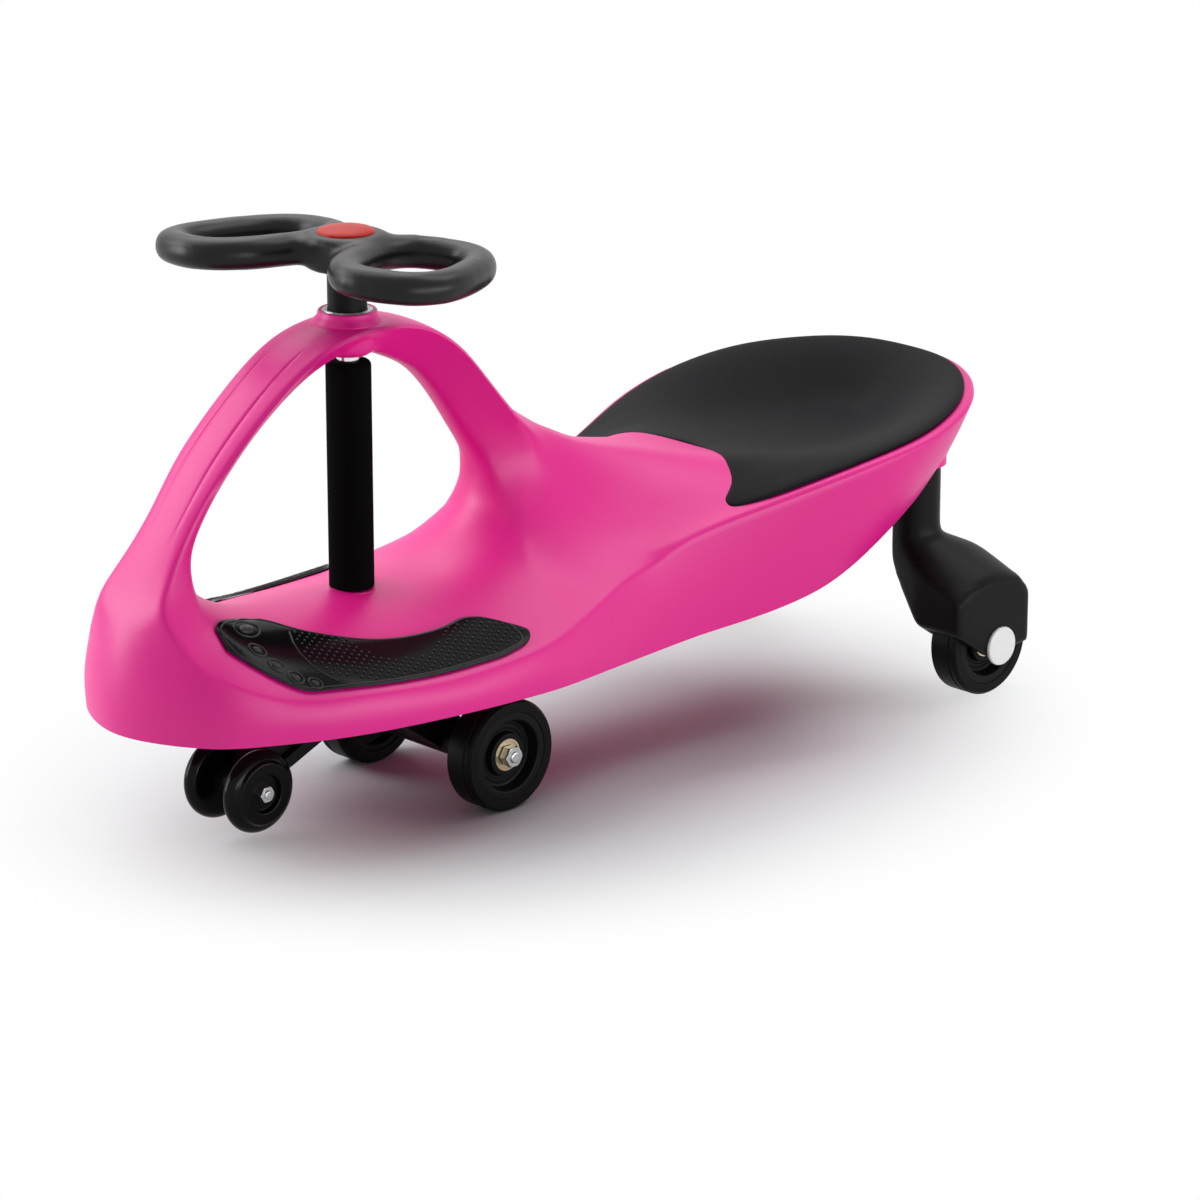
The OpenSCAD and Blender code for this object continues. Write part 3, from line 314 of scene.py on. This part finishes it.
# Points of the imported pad's front edge with the places they are drawn to, and points that stay, in millimetres.
notch = [
    ((-322.9, 0), (-320, 0)), ((-327.4, 15.8), (-315.5, 15)), ((-330, 31.4), (-308.5, 30.5)),
    ((-330.8, 46.4), (-299, 45)), ((-327.1, 59.3), (-293, 58)), ((-318.4, 70.5), (-286, 68.5)),
    ((-305.3, 79), (-278, 73.3)), ((-291.5, 84.8), (-270.5, 76.5)), ((-279.5, 88.4), (-268, 81)),
    ((-271.4, 90.2), (-269.3, 85.2)), ((-267.7, 91), (-273.5, 88))]
still = [(-352, 0), (-356, 20), (-358, 45), (-352, 70), (-337, 90), (-294.7, 98.1), (-321.5, 105.9), (-347.9, 114)]
still_behind = -352
least_pull = 0.5
lie_over = 0.0013


def height_of(tree, x, y):
    """The height of the uppermost face over a place, or None beside the solid."""
    hit = tree.ray_cast(Vector((x, y, 0.6)), Vector((0, 0, -1)))[0]
    return None if hit is None else hit.z


skin_tree = BVHTree.FromObject(skin, bpy.context.evaluated_depsgraph_get())
pad = cad_copy("seat_pad")
pad.normal_update()
pad_tree = BVHTree.FromBMesh(pad)
pulls = [(Vector(start), Vector(end) - Vector(start)) for start, end in notch] + [
    (Vector(point), Vector((0, 0))) for point in still]
for vert in pad.verts:
    side = 1 if vert.co.y >= 0 else -1
    spot = Vector(((vert.co.x - column_x) * 1000, abs(vert.co.y) * 1000))
    if spot.x < still_behind:
        continue
    weights = [1 / ((spot - start).length_squared + 2) ** 2 for start, _ in pulls]
    pull = sum((weight * move for weight, (_, move) in zip(weights, pulls)), Vector((0, 0))) / sum(weights)
    vert.co.x += pull.x / 1000
    vert.co.y += side * pull.y / 1000
    if pull.length > least_pull:
        bed = height_of(skin_tree, vert.co.x, vert.co.y)
        top = height_of(pad_tree, vert.co.x, vert.co.y)
        if vert.normal.z > 0.1:
            vert.co.z = max(bed + lie_over, top or 0)
        elif top is None:
            vert.co.z = bed - lie_over
pair_up(pad)
seat = piece(pad, "seat_mat", "root", seat_black, "seat_black", "seat_pad", levels=2)

# Foot pads: glossy black rubber treads glued to the deck, moulded as a footprint with raised toes,
# a line across the sole and raised dots under ball and heel. The arch of the foot is left smooth.
tread_black = moulded(
    "tread_rubber", (0.003, 0.003, 0.0035), (0.005, 0.005, 0.0055), rough=0.15, spread=0.08,
    grain_scale=700, grain_depth=0.00003, specular=0.07)
# The dots, toes and lines take a paler grey than the tread. This paler colour is a painted highlight for the glints
# on them.
relief_painted_glint = moulded(
    "relief_rubber_painted_glint", (0.022, 0.023, 0.024), (0.032, 0.033, 0.034), rough=0.3, spread=0.1,
    grain_scale=700, grain_depth=0.00003, specular=0.15)
# The pad's form in metres: how high it stands, and how its heel and toe ends are drawn out.
tread_rise, rise_kept = 0.0021, 0.15
heel_end, heel_from, heel_run = -0.045, -0.015, 0.04
heel_round, heel_swell = 0.012, 0.0045
toe_from, toe_run, toe_stretch = 0.1, 0.04, 0.005
middle_from, middle_to = -0.04, 0.126
# The relief's outlines in millimetres: toes with their half sizes and turn, and lines as (at, height) pairs.
toes = [
    (124.0, 40.0, 12.0, 6.8, 20), (130.5, 58.0, 5.6, 4.6, -20), (125.0, 69.8, 5.3, 4.4, -35),
    (118.0, 80.4, 5.0, 4.1, -45), (108.6, 88.2, 4.5, 3.6, -55)]
toe_fill, toe_height, toe_steps = 0.62, 0.0011, 32
sole_line = [(44, 92), (55, 98), (65, 101), (75, 101), (84.5, 98.5), (93, 93)]
smooth_arch = [(58, 62), (54, 79), (39, 87.5), (19, 88.5), (-2, 82), (-14, 71)]
line_radius = 0.0007
border_radius, border_inset, border_pitch, border_steps = 0.0006, 2.4, 2.8, 76
dot_pitch, dot_row, dot_from, dot_inner = 4.8, 0.87, 97, 26
dot_radius, dot_height, dot_lift, dot_margin = 0.00115, 0.0011, 0.0003, 4
ball_from, line_gap, arch_gap = 80, 3.5, 3


def between(points, at):
    """The height of a broken line over a place, or None beyond its ends."""
    for (low, first), (high, second) in zip(points, points[1:]):
        if min(low, high) <= at <= max(low, high):
            return first + (second - first) * (at - low) / (high - low)
    return None


def on_tread(tree, side, x, y):
    """The point and normal of a tread's upper face at a place on the deck, or None beside it."""
    hit = tree.ray_cast(Vector((column_x + x / 1000, side * y / 1000, 0.3)), Vector((0, 0, -1)))
    return hit[:2] if hit[0] is not None else None


def bead(work, points, closed, radius):
    """Adds a thin round bead along points."""
    line = bpy.data.curves.new("bead", "CURVE")
    line.dimensions = "3D"
    line.bevel_depth = radius
    line.bevel_resolution = 1
    line.use_fill_caps = True
    spline = line.splines.new("POLY")
    spline.points.add(len(points) - 1)
    for spot, point in zip(spline.points, points):
        spot.co = (*point, 1)
    spline.use_cyclic_u = closed
    holder = bpy.data.objects.new("bead", line)
    bpy.context.scene.collection.objects.link(holder)
    solid = holder.evaluated_get(bpy.context.evaluated_depsgraph_get())
    work.from_mesh(solid.to_mesh())
    solid.to_mesh_clear()
    bpy.data.objects.remove(holder)
    bpy.data.curves.remove(line)


def shaped_tread(node, side):
    """A copy of a packed pad with its ends drawn out and rounded, lying thinly on the dressed shell."""
    tread = cad_copy(node)
    heights = [(vert, vert.co.z - height_of(skin_tree, vert.co.x, vert.co.y)) for vert in tread.verts]
    heel = [abs(vert.co.y) for vert in tread.verts if vert.co.x < column_x + heel_end]
    heel_mid, heel_half = (min(heel) + max(heel)) / 2, (max(heel) - min(heel)) / 2
    for vert in tread.verts:
        forward = vert.co.x - column_x
        across = (abs(vert.co.y) - heel_mid) / heel_half
        backward = held((heel_from - forward) / heel_run)
        vert.co.x -= backward * heel_round * max(0.0, 1 - ((across - 0.5) / 1.25) ** 2)
        vert.co.y += backward * side * heel_swell * held(across + 0.4)
        vert.co.x += toe_stretch * held((forward - toe_from) / toe_run)
    ends = [vert for vert in tread.verts if not middle_from < vert.co.x - column_x < middle_to]
    soften(tread, ends, 2, upright=False)
    for vert, over in heights:
        deck = height_of(skin_tree, vert.co.x, vert.co.y)
        vert.co.z = deck + min(over, tread_rise + rise_kept * (over - tread_rise))
    pair_up(tread)
    return tread


def raise_toe(relief, tree, side, x, y, long, broad, turn):
    """Adds a toe: a bead round an oval and a low dome inside it."""
    angle = math.radians(turn)
    oval = []
    for step in range(toe_steps):
        across = long * math.cos(step * 2 * math.pi / toe_steps)
        along = broad * math.sin(step * 2 * math.pi / toe_steps)
        found = on_tread(tree, side, x + across * math.cos(angle) - along * math.sin(angle),
                         y + across * math.sin(angle) + along * math.cos(angle))
        if found:
            oval.append(found[0])
    bead(relief, oval, True, line_radius)
    point, normal = on_tread(tree, side, x, y)
    tilt = Vector((0, 0, 1)).rotation_difference(normal).to_matrix().to_4x4()
    lie = Matrix.Translation(point) @ tilt @ Matrix.Rotation(side * angle, 4, "Z")
    size = Matrix.Diagonal((long * toe_fill / 1000, broad * toe_fill / 1000, toe_height, 1))
    bmesh.ops.create_uvsphere(relief, u_segments=20, v_segments=8, radius=1, matrix=lie @ size)


def border_line(tree, side, toe_end):
    """The places of a tread's border, a little inside its edge all round."""
    outer, inner = [], []
    for step in range(border_steps):
        x = toe_end - border_inset - step * border_pitch
        span = [y / 2 for y in range(40, 232) if on_tread(tree, side, x, y / 2)]
        if len(span) > 12:
            outer.append((x, span[-1] - border_inset))
            inner.append((x, span[0] + border_inset))
    loop = outer + inner[::-1]
    for _ in range(2):
        loop = [
            tuple((a + 2 * b + c) / 4 for a, b, c in zip(loop[place - 1], loop[place], loop[(place + 1) % len(loop)]))
            for place in range(len(loop))]
    return loop


def takes_dot(tree, side, x, y):
    """Whether a place is on ball or heel, clear of the tread's edge, the sole's line and the smooth arch."""
    around = ((0, 0), (dot_margin, 0), (-dot_margin, 0), (0, dot_margin), (0, -dot_margin))
    if not all(on_tread(tree, side, x + dx, y + dy) for dx, dy in around):
        return False
    edge_line = between(sole_line, y)
    if x > ball_from and (edge_line is None or x > edge_line - line_gap):
        return False
    arch_line = between(smooth_arch, x)
    return arch_line is None or y >= arch_line + arch_gap


for side, hand in ((1, "left"), (-1, "right")):
    tread = shaped_tread("foot_pad_" + hand, side)
    tree = BVHTree.FromBMesh(tread)
    relief = bmesh.new()
    for toe in toes:
        raise_toe(relief, tree, side, *toe)
    bead(relief, [on_tread(tree, side, between(sole_line, y), y)[0] for y in range(44, 94)], False, line_radius)
    toe_end = (max(vert.co.x for vert in tread.verts) - column_x) * 1000
    border = [on_tread(tree, side, x, y)[0] for x, y in border_line(tree, side, toe_end)]
    bead(relief, border, True, border_radius)
    for row in range(40):
        for column in range(24):
            x = dot_from - row * dot_pitch * dot_row
            y = dot_inner + (column + 0.5 * (row % 2)) * dot_pitch
            if not takes_dot(tree, side, x, y):
                continue
            point, normal = on_tread(tree, side, x, y)
            stand = Matrix.Translation(point + normal * dot_lift)
            lean = normal.to_track_quat("Z", "Y").to_matrix().to_4x4()
            bmesh.ops.create_cone(
                relief, cap_ends=True, cap_tris=False, segments=10, radius1=dot_radius, radius2=dot_radius * 0.5,
                depth=dot_height, matrix=stand @ lean)
    mat = piece(tread, "foot_tread_" + hand, "root", tread_black, "foot_black", "foot_pad_" + hand, levels=2)
    piece(relief, "tread_relief_" + hand, "root", relief_painted_glint, "foot_black")


# Column: a chromed steel tube through the shell, held by a steel ring with fine turned lines in the collar and
# by a white nylon bush in the deck. A foam sleeve covers it, and a black stem runs up to the steering wheel.
def metal(name, colour, second, rough, spread):
    """Plated steel with faint streaks in its gloss."""
    made, shade, shader = surface(name)
    streaks = shade.noise(scale=260.0, detail=4.0)
    feed(shade, shader, shade.tint(streaks, colour, second), rough + spread * (streaks - 0.5))
    shader.inputs["Metallic"].default_value = 1.0
    return made


def finish_cad(material, *nodes):
    """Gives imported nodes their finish."""
    for node in nodes:
        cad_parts[node].data.materials.clear()
        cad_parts[node].data.materials.append(material)


def arc(radius, height, broad, tall, turns):
    """Points of a section on an oval arc round a middle, at angles in degrees."""
    return [
        (radius + broad * math.cos(math.radians(turn)), height + tall * math.sin(math.radians(turn)))
        for turn in turns]


chrome = metal("chrome_plate", (0.80, 0.80, 0.81), (0.70, 0.70, 0.72), rough=0.12, spread=0.1)
zinc = metal("bright_zinc", (0.62, 0.63, 0.64), (0.5, 0.51, 0.53), rough=0.3, spread=0.2)
bush_white = moulded(
    "white_nylon", (0.75, 0.75, 0.73), (0.68, 0.68, 0.66), rough=0.5, spread=0.1,
    grain_scale=600, grain_depth=0.00003, specular=0.5)
foam_black = moulded(
    "sleeve_foam", (0.0015, 0.0015, 0.0015), (0.003, 0.003, 0.003), rough=0.9, spread=0.1,
    grain_scale=2500, grain_depth=0.0002, specular=0.03)
moulded_black = moulded(
    "black_polypropylene", (0.004, 0.004, 0.0045), (0.006, 0.006, 0.0065), rough=0.4, spread=0.15,
    grain_scale=1300, grain_depth=0.00005, specular=0.09)
finish_cad(chrome, "steering_column")
finish_cad(bush_white, "lower_bush")
ring_section = [
    (13.1, 325), (13.1, 343), (13.6, 343.5), (14.2, 343.5), (14.3, 342.7), (14.6, 342.7), (14.7, 343.5),
    (15.5, 343.5), (15.6, 342.9), (15.9, 342.9), (16.0, 343.5), (16.5, 343.3), (16.5, 325)]
piece(turned(ring_section, column_foot, upright, 0.0001), "collar_ring", "root", zinc, "zinc", "upper_bush")
sleeve_section = [
    (8.1, 155), (13.9, 155), (14.7, 155.6), (15, 156.6), *arc(11.5, 305.5, 3.5, 3.5, range(0, 91, 15)), (8.1, 309)]
sleeve = turned(sleeve_section, column_foot, upright, 0.0002)
grip = piece(sleeve, "foam_sleeve", "steering", foam_black, "foam_black", "column_sleeve")
stem_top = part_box("column_stem")[1].z * 1000
stem_section = [
    (8.1, 322), (13, 322), (13, stem_top - 5), (12.6, stem_top - 4.6), (12.6, stem_top), (8.1, stem_top)]
stem = turned(stem_section, column_foot, upright)
piece(stem, "wheel_stem", "steering", moulded_black, "moulded_black", "column_stem")


# Steering wheel: a hollow black moulding of two loops that flow into a broad hub, satin with a fine grain.
# A bolt holds it to the column, under a domed red cap that snaps into the hub.
def remeshed(work, voxel, rounds, swell):
    """Makes an even mesh of a solid, relaxes it so that its corners blend, and swells it back to size."""
    mesh = bpy.data.meshes.new("work")
    work.to_mesh(mesh)
    work.free()
    holder = bpy.data.objects.new("work", mesh)
    bpy.context.scene.collection.objects.link(holder)
    even = holder.modifiers.new("even", "REMESH")
    even.mode = "VOXEL"
    even.voxel_size = voxel
    evaluated = holder.evaluated_get(bpy.context.evaluated_depsgraph_get())
    made = bmesh.new()
    made.from_mesh(evaluated.to_mesh())
    bpy.data.objects.remove(holder)
    bpy.data.meshes.remove(mesh)
    soften(made, made.verts, rounds)
    made.normal_update()
    for vert in made.verts:
        vert.co += vert.normal * swell
    return made


wheel_black = moulded(
    "steering_black", (0.005, 0.005, 0.006), (0.007, 0.0065, 0.007), rough=0.33, spread=0.14,
    grain_scale=1200, grain_depth=0.00006, specular=0.22)
cap_red = moulded(
    "cap_red", (0.52, 0.020, 0.012), (0.46, 0.017, 0.010), rough=0.35, spread=0.1,
    grain_scale=700, grain_depth=0.00003, specular=0.1)
wheel = remeshed(cad_copy("steering_wheel"), voxel=0.0016, rounds=24, swell=0.0006)
piece(wheel, "looped_wheel", "steering", wheel_black, "wheel_black", "steering_wheel")
finish_cad(zinc, "wheel_bolt")
cap_low, cap_radius, cap_rim, cap_rise = 394.2, 19, 0.6, 3.4
cap_section = [
    (0, cap_low), (cap_radius, cap_low), (cap_radius, cap_low + cap_rim),
    *arc(0, cap_low + cap_rim, cap_radius, cap_rise, range(12, 91, 6))]
piece(turned(cap_section, column_foot, upright), "domed_cap", "steering", cap_red, "cap_red", "wheel_cap")


# Front truck: a black moulded carrier on the column's foot, with an arm back to the main axle and one forward
# to the safety axle. A cross bolt holds it, and zinc-plated nuts close the axles.
def eased(node, offset, rounds=2):
    """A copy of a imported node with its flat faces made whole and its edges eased."""
    work = cad_copy(node)
    bmesh.ops.dissolve_limit(work, angle_limit=math.radians(1), verts=work.verts, edges=work.edges)
    ease_corners(work, 30, offset, rounds)
    return work


piece(eased("axle_carrier", 0.0012), "truck_carrier", "steering", moulded_black, "moulded_black", "axle_carrier")
finish_cad(zinc, "carrier_bolt")
piece(eased("front_nuts", 0.0003), "axle_nuts", "steering", zinc, "zinc", "front_nuts")
piece(eased("safety_nuts", 0.0003), "roller_nuts", "steering", zinc, "zinc", "safety_nuts")
piece(eased("front_axle", 0.0011, 3), "main_axle", "steering", zinc, "zinc", "front_axle")
piece(eased("safety_axle", 0.0009, 3), "roller_axle", "steering", zinc, "zinc", "safety_axle")

# Main wheels: a black moulded disc with a deep dish, a satin tyre with a turned groove near its outer side,
# and two ball bearings in yellow zinc. The front pair is on the truck and the rear pair under the seat.
tyre_black = moulded(
    "tyre_black", (0.003, 0.003, 0.003), (0.005, 0.005, 0.005), rough=0.42, spread=0.2,
    grain_scale=800, grain_depth=0.00006, specular=0.07)
yellow_zinc = metal("yellow_zinc", (0.70, 0.59, 0.37), (0.58, 0.48, 0.30), rough=0.28, spread=0.2)
tyre_section = [
    (30.06, -12), (36.2, -12), (38.5, -9.6), (38.5, 5.2), (37.5, 5.6), (37.5, 6.5), (38.5, 6.9), (38.5, 9.6),
    (36.6, 12), (30.06, 12)]
disc_section = [
    (9, -1), (11, -1), (11, -8), (15, -8), (15, -3), (26, -3), (26, -11), (30, -11), (30, 11.6), (25.2, 11.6),
    (24.4, 10.8), (22.8, 3.6), (20.6, 3.2), (20.4, 3.9), (17.6, 3.9), (17.4, 3.1), (15.4, 3), (14.6, 8),
    (11, 8), (11, 1), (9, 1)]
for end in ("front", "rear"):
    for side, hand in ((1, "left"), (-1, "right")):
        low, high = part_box(f"{end}_tyre_{hand}")
        body = f"{end}_wheel_{hand}"
        outward = (0, side, 0)
        middle = (low + high) / 2
        piece(turned(tyre_section, middle, outward), f"{end}_tread_{hand}", body, tyre_black, "tyre_black",
              f"{end}_tyre_{hand}")
        piece(turned(disc_section, middle, outward), f"{end}_disc_{hand}", body, moulded_black, "moulded_black",
              f"{end}_hub_{hand}")
        finish_cad(yellow_zinc, f"{end}_bearings_{hand}")

# Safety wheels: two glossy black rollers in front, clear of the floor, with a well rounded tread,
# a flat ring round their face and a recess for the nut.
gloss_black = moulded(
    "gloss_black", (0.002, 0.002, 0.0025), (0.004, 0.004, 0.004), rough=0.17, spread=0.08,
    grain_scale=500, grain_depth=0.00002, specular=0.1)
roller_section = [
    (3.06, -7.5), (20, -7.5), *arc(19, -1.2, 9, 6.9, range(-60, 71, 10)), (20.8, 7.2), (20.2, 7.5), (13.6, 7.5),
    (13.0, 7.1), (12.0, 3.5), (7.4, 3.5), (7.2, 4.1), (3.06, 4.1)]
roller_side = 0.021
for side, hand in ((1, "left"), (-1, "right")):
    low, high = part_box("safety_wheel_" + hand)
    middle = Vector(((low.x + high.x) / 2, side * roller_side, (low.z + high.z) / 2))
    roller = turned(roller_section, middle, (0, side, 0), 0.0004)
    piece(roller, "safety_tread_" + hand, "safety_roller_" + hand, gloss_black, "gloss_black", "safety_wheel_" + hand)

# Rear struts: black mouldings pressed into the shell's sockets, each a post that swells into a housing over
# its wheel. A plain white cap closes the axle on the outer face.
cap_white = moulded(
    "cap_white", (0.86, 0.86, 0.85), (0.80, 0.80, 0.79), rough=0.35, spread=0.1,
    grain_scale=700, grain_depth=0.00003, specular=0.4)
neck_rounds = ((0.078, 14), (0.086, 40))
for hand in ("left", "right"):
    strut = remeshed(cad_copy("rear_strut_" + hand), voxel=0.0014, rounds=22, swell=0.0004)
    for height, rounds in neck_rounds:
        soften(strut, [vert for vert in strut.verts if vert.co.z > height], rounds)
    piece(strut, "wheel_strut_" + hand, "root", moulded_black, "moulded_black", "rear_strut_" + hand)
    cap = eased("axle_cap_" + hand, 0.0008, 3)
    piece(cap, "white_cap_" + hand, "root", cap_white, "cap_white", "axle_cap_" + hand)
    finish_cad(zinc, "rear_axle_" + hand)

# Floor and light: a white paper floor that keeps the car's shadow and turns plain white further out, in a pale
# room. Three softboxes hang behind and above, and two low ones, for nose and left side, light the car alone.
floor_work = bmesh.new()
bmesh.ops.create_grid(floor_work, x_segments=1, y_segments=1, size=15)
floor_mesh = bpy.data.meshes.new("floor")
floor_work.to_mesh(floor_mesh)
floor_work.free()
floor = bpy.data.objects.new("floor", floor_mesh)
bpy.context.scene.collection.objects.link(floor)


def background_rays(shade):
    """1 for what the camera sees directly, in a mirror or through glass, and 0 for other light."""
    direct = shade.node("ShaderNodeLightPath", out="Is Camera Ray")
    mirrored = shade.node("ShaderNodeLightPath", out="Is Glossy Ray")
    passed = shade.node("ShaderNodeLightPath", out="Is Transmission Ray")
    return direct + mirrored + passed


paper_tint = (0.78, 0.83, 0.85, 1)
white = (1, 1, 1, 1)
shadow_inside, shadow_outside = 0.12, 0.36
paper = bpy.data.materials.new("white_paper")
paper.use_nodes = True
paper.node_tree.nodes.clear()
paper_shade = Shade(paper.node_tree)
matt = paper_shade.node("ShaderNodeBsdfDiffuse", None, {"Color": paper_tint})
glow = paper_shade.node("ShaderNodeEmission", None, {"Color": white, "Strength": 1.0})
spot = paper_shade.node("ShaderNodeTexCoord", out="Object")
drawn = paper_shade.node("ShaderNodeVectorMath", {"operation": "MULTIPLY"}, {0: spot, 1: (0.8, 1, 1)})
away = paper_shade.node("ShaderNodeVectorMath", {"operation": "LENGTH"}, {0: drawn}, out="Value")
share = paper_shade.node(
    "ShaderNodeMapRange", {"interpolation_type": "SMOOTHSTEP"},
    {"Value": away, "From Min": shadow_inside, "From Max": shadow_outside, "To Min": 0.0, "To Max": 1.0})
mixed = paper_shade.node("ShaderNodeMixShader", None, {0: share * background_rays(paper_shade), 1: matt, 2: glow})
paper_shade.node("ShaderNodeOutputMaterial", None, {"Surface": mixed})
floor_mesh.materials.append(paper)

ambient = 0.22
world = bpy.data.worlds.new("studio")
bpy.context.scene.world = world
world.use_nodes = True
sky = Shade(world.node_tree)
level = ambient + (1 - ambient) * background_rays(sky)
backdrop = world.node_tree.nodes["Background"]
backdrop.inputs["Color"].default_value = white
world.node_tree.links.new(level.socket, backdrop.inputs["Strength"])


def softbox(name, place, aim, width, height, watts):
    """A rectangular area light at a place, turned to a point on the car."""
    lamp = bpy.data.lights.new(name, "AREA")
    lamp.shape = "RECTANGLE"
    lamp.size = width
    lamp.size_y = height
    lamp.energy = watts
    holder = bpy.data.objects.new(name, lamp)
    holder.location = place
    holder.rotation_euler = (Vector(aim) - Vector(place)).to_track_quat("-Z", "Y").to_euler()
    bpy.context.scene.collection.objects.link(holder)
    return holder


softbox("back_light", place=(-0.2, -1.1, 2.0), aim=(0, 0, 0.15), width=2.1, height=1.9, watts=29)
softbox("arch_light", place=(1.2, -1.7, 1.5), aim=(0.1, 0, 0.2), width=1.2, height=1.0, watts=19)
softbox("hump_light", place=(-1.2, 0.4, 2.1), aim=(-0.1, 0, 0.15), width=1.3, height=1.3, watts=15)
nose_light = softbox("nose_light", place=(2.0, -1.75, 0.6), aim=(0.2, 0, 0.15), width=1.0, height=1.2, watts=32)
side_light = softbox("side_light", place=(-0.3, 2.6, 0.3), aim=(0, 0, 0.15), width=3.4, height=0.5, watts=40)
car_only = bpy.data.collections.new("car_only")
car_only.objects.link(floor)
car_only.collection_objects[0].light_linking.link_state = "EXCLUDE"
for lamp in (nose_light, side_light):
    lamp.light_linking.receiver_collection = car_only
bpy.context.scene.view_settings.view_transform = "Standard"
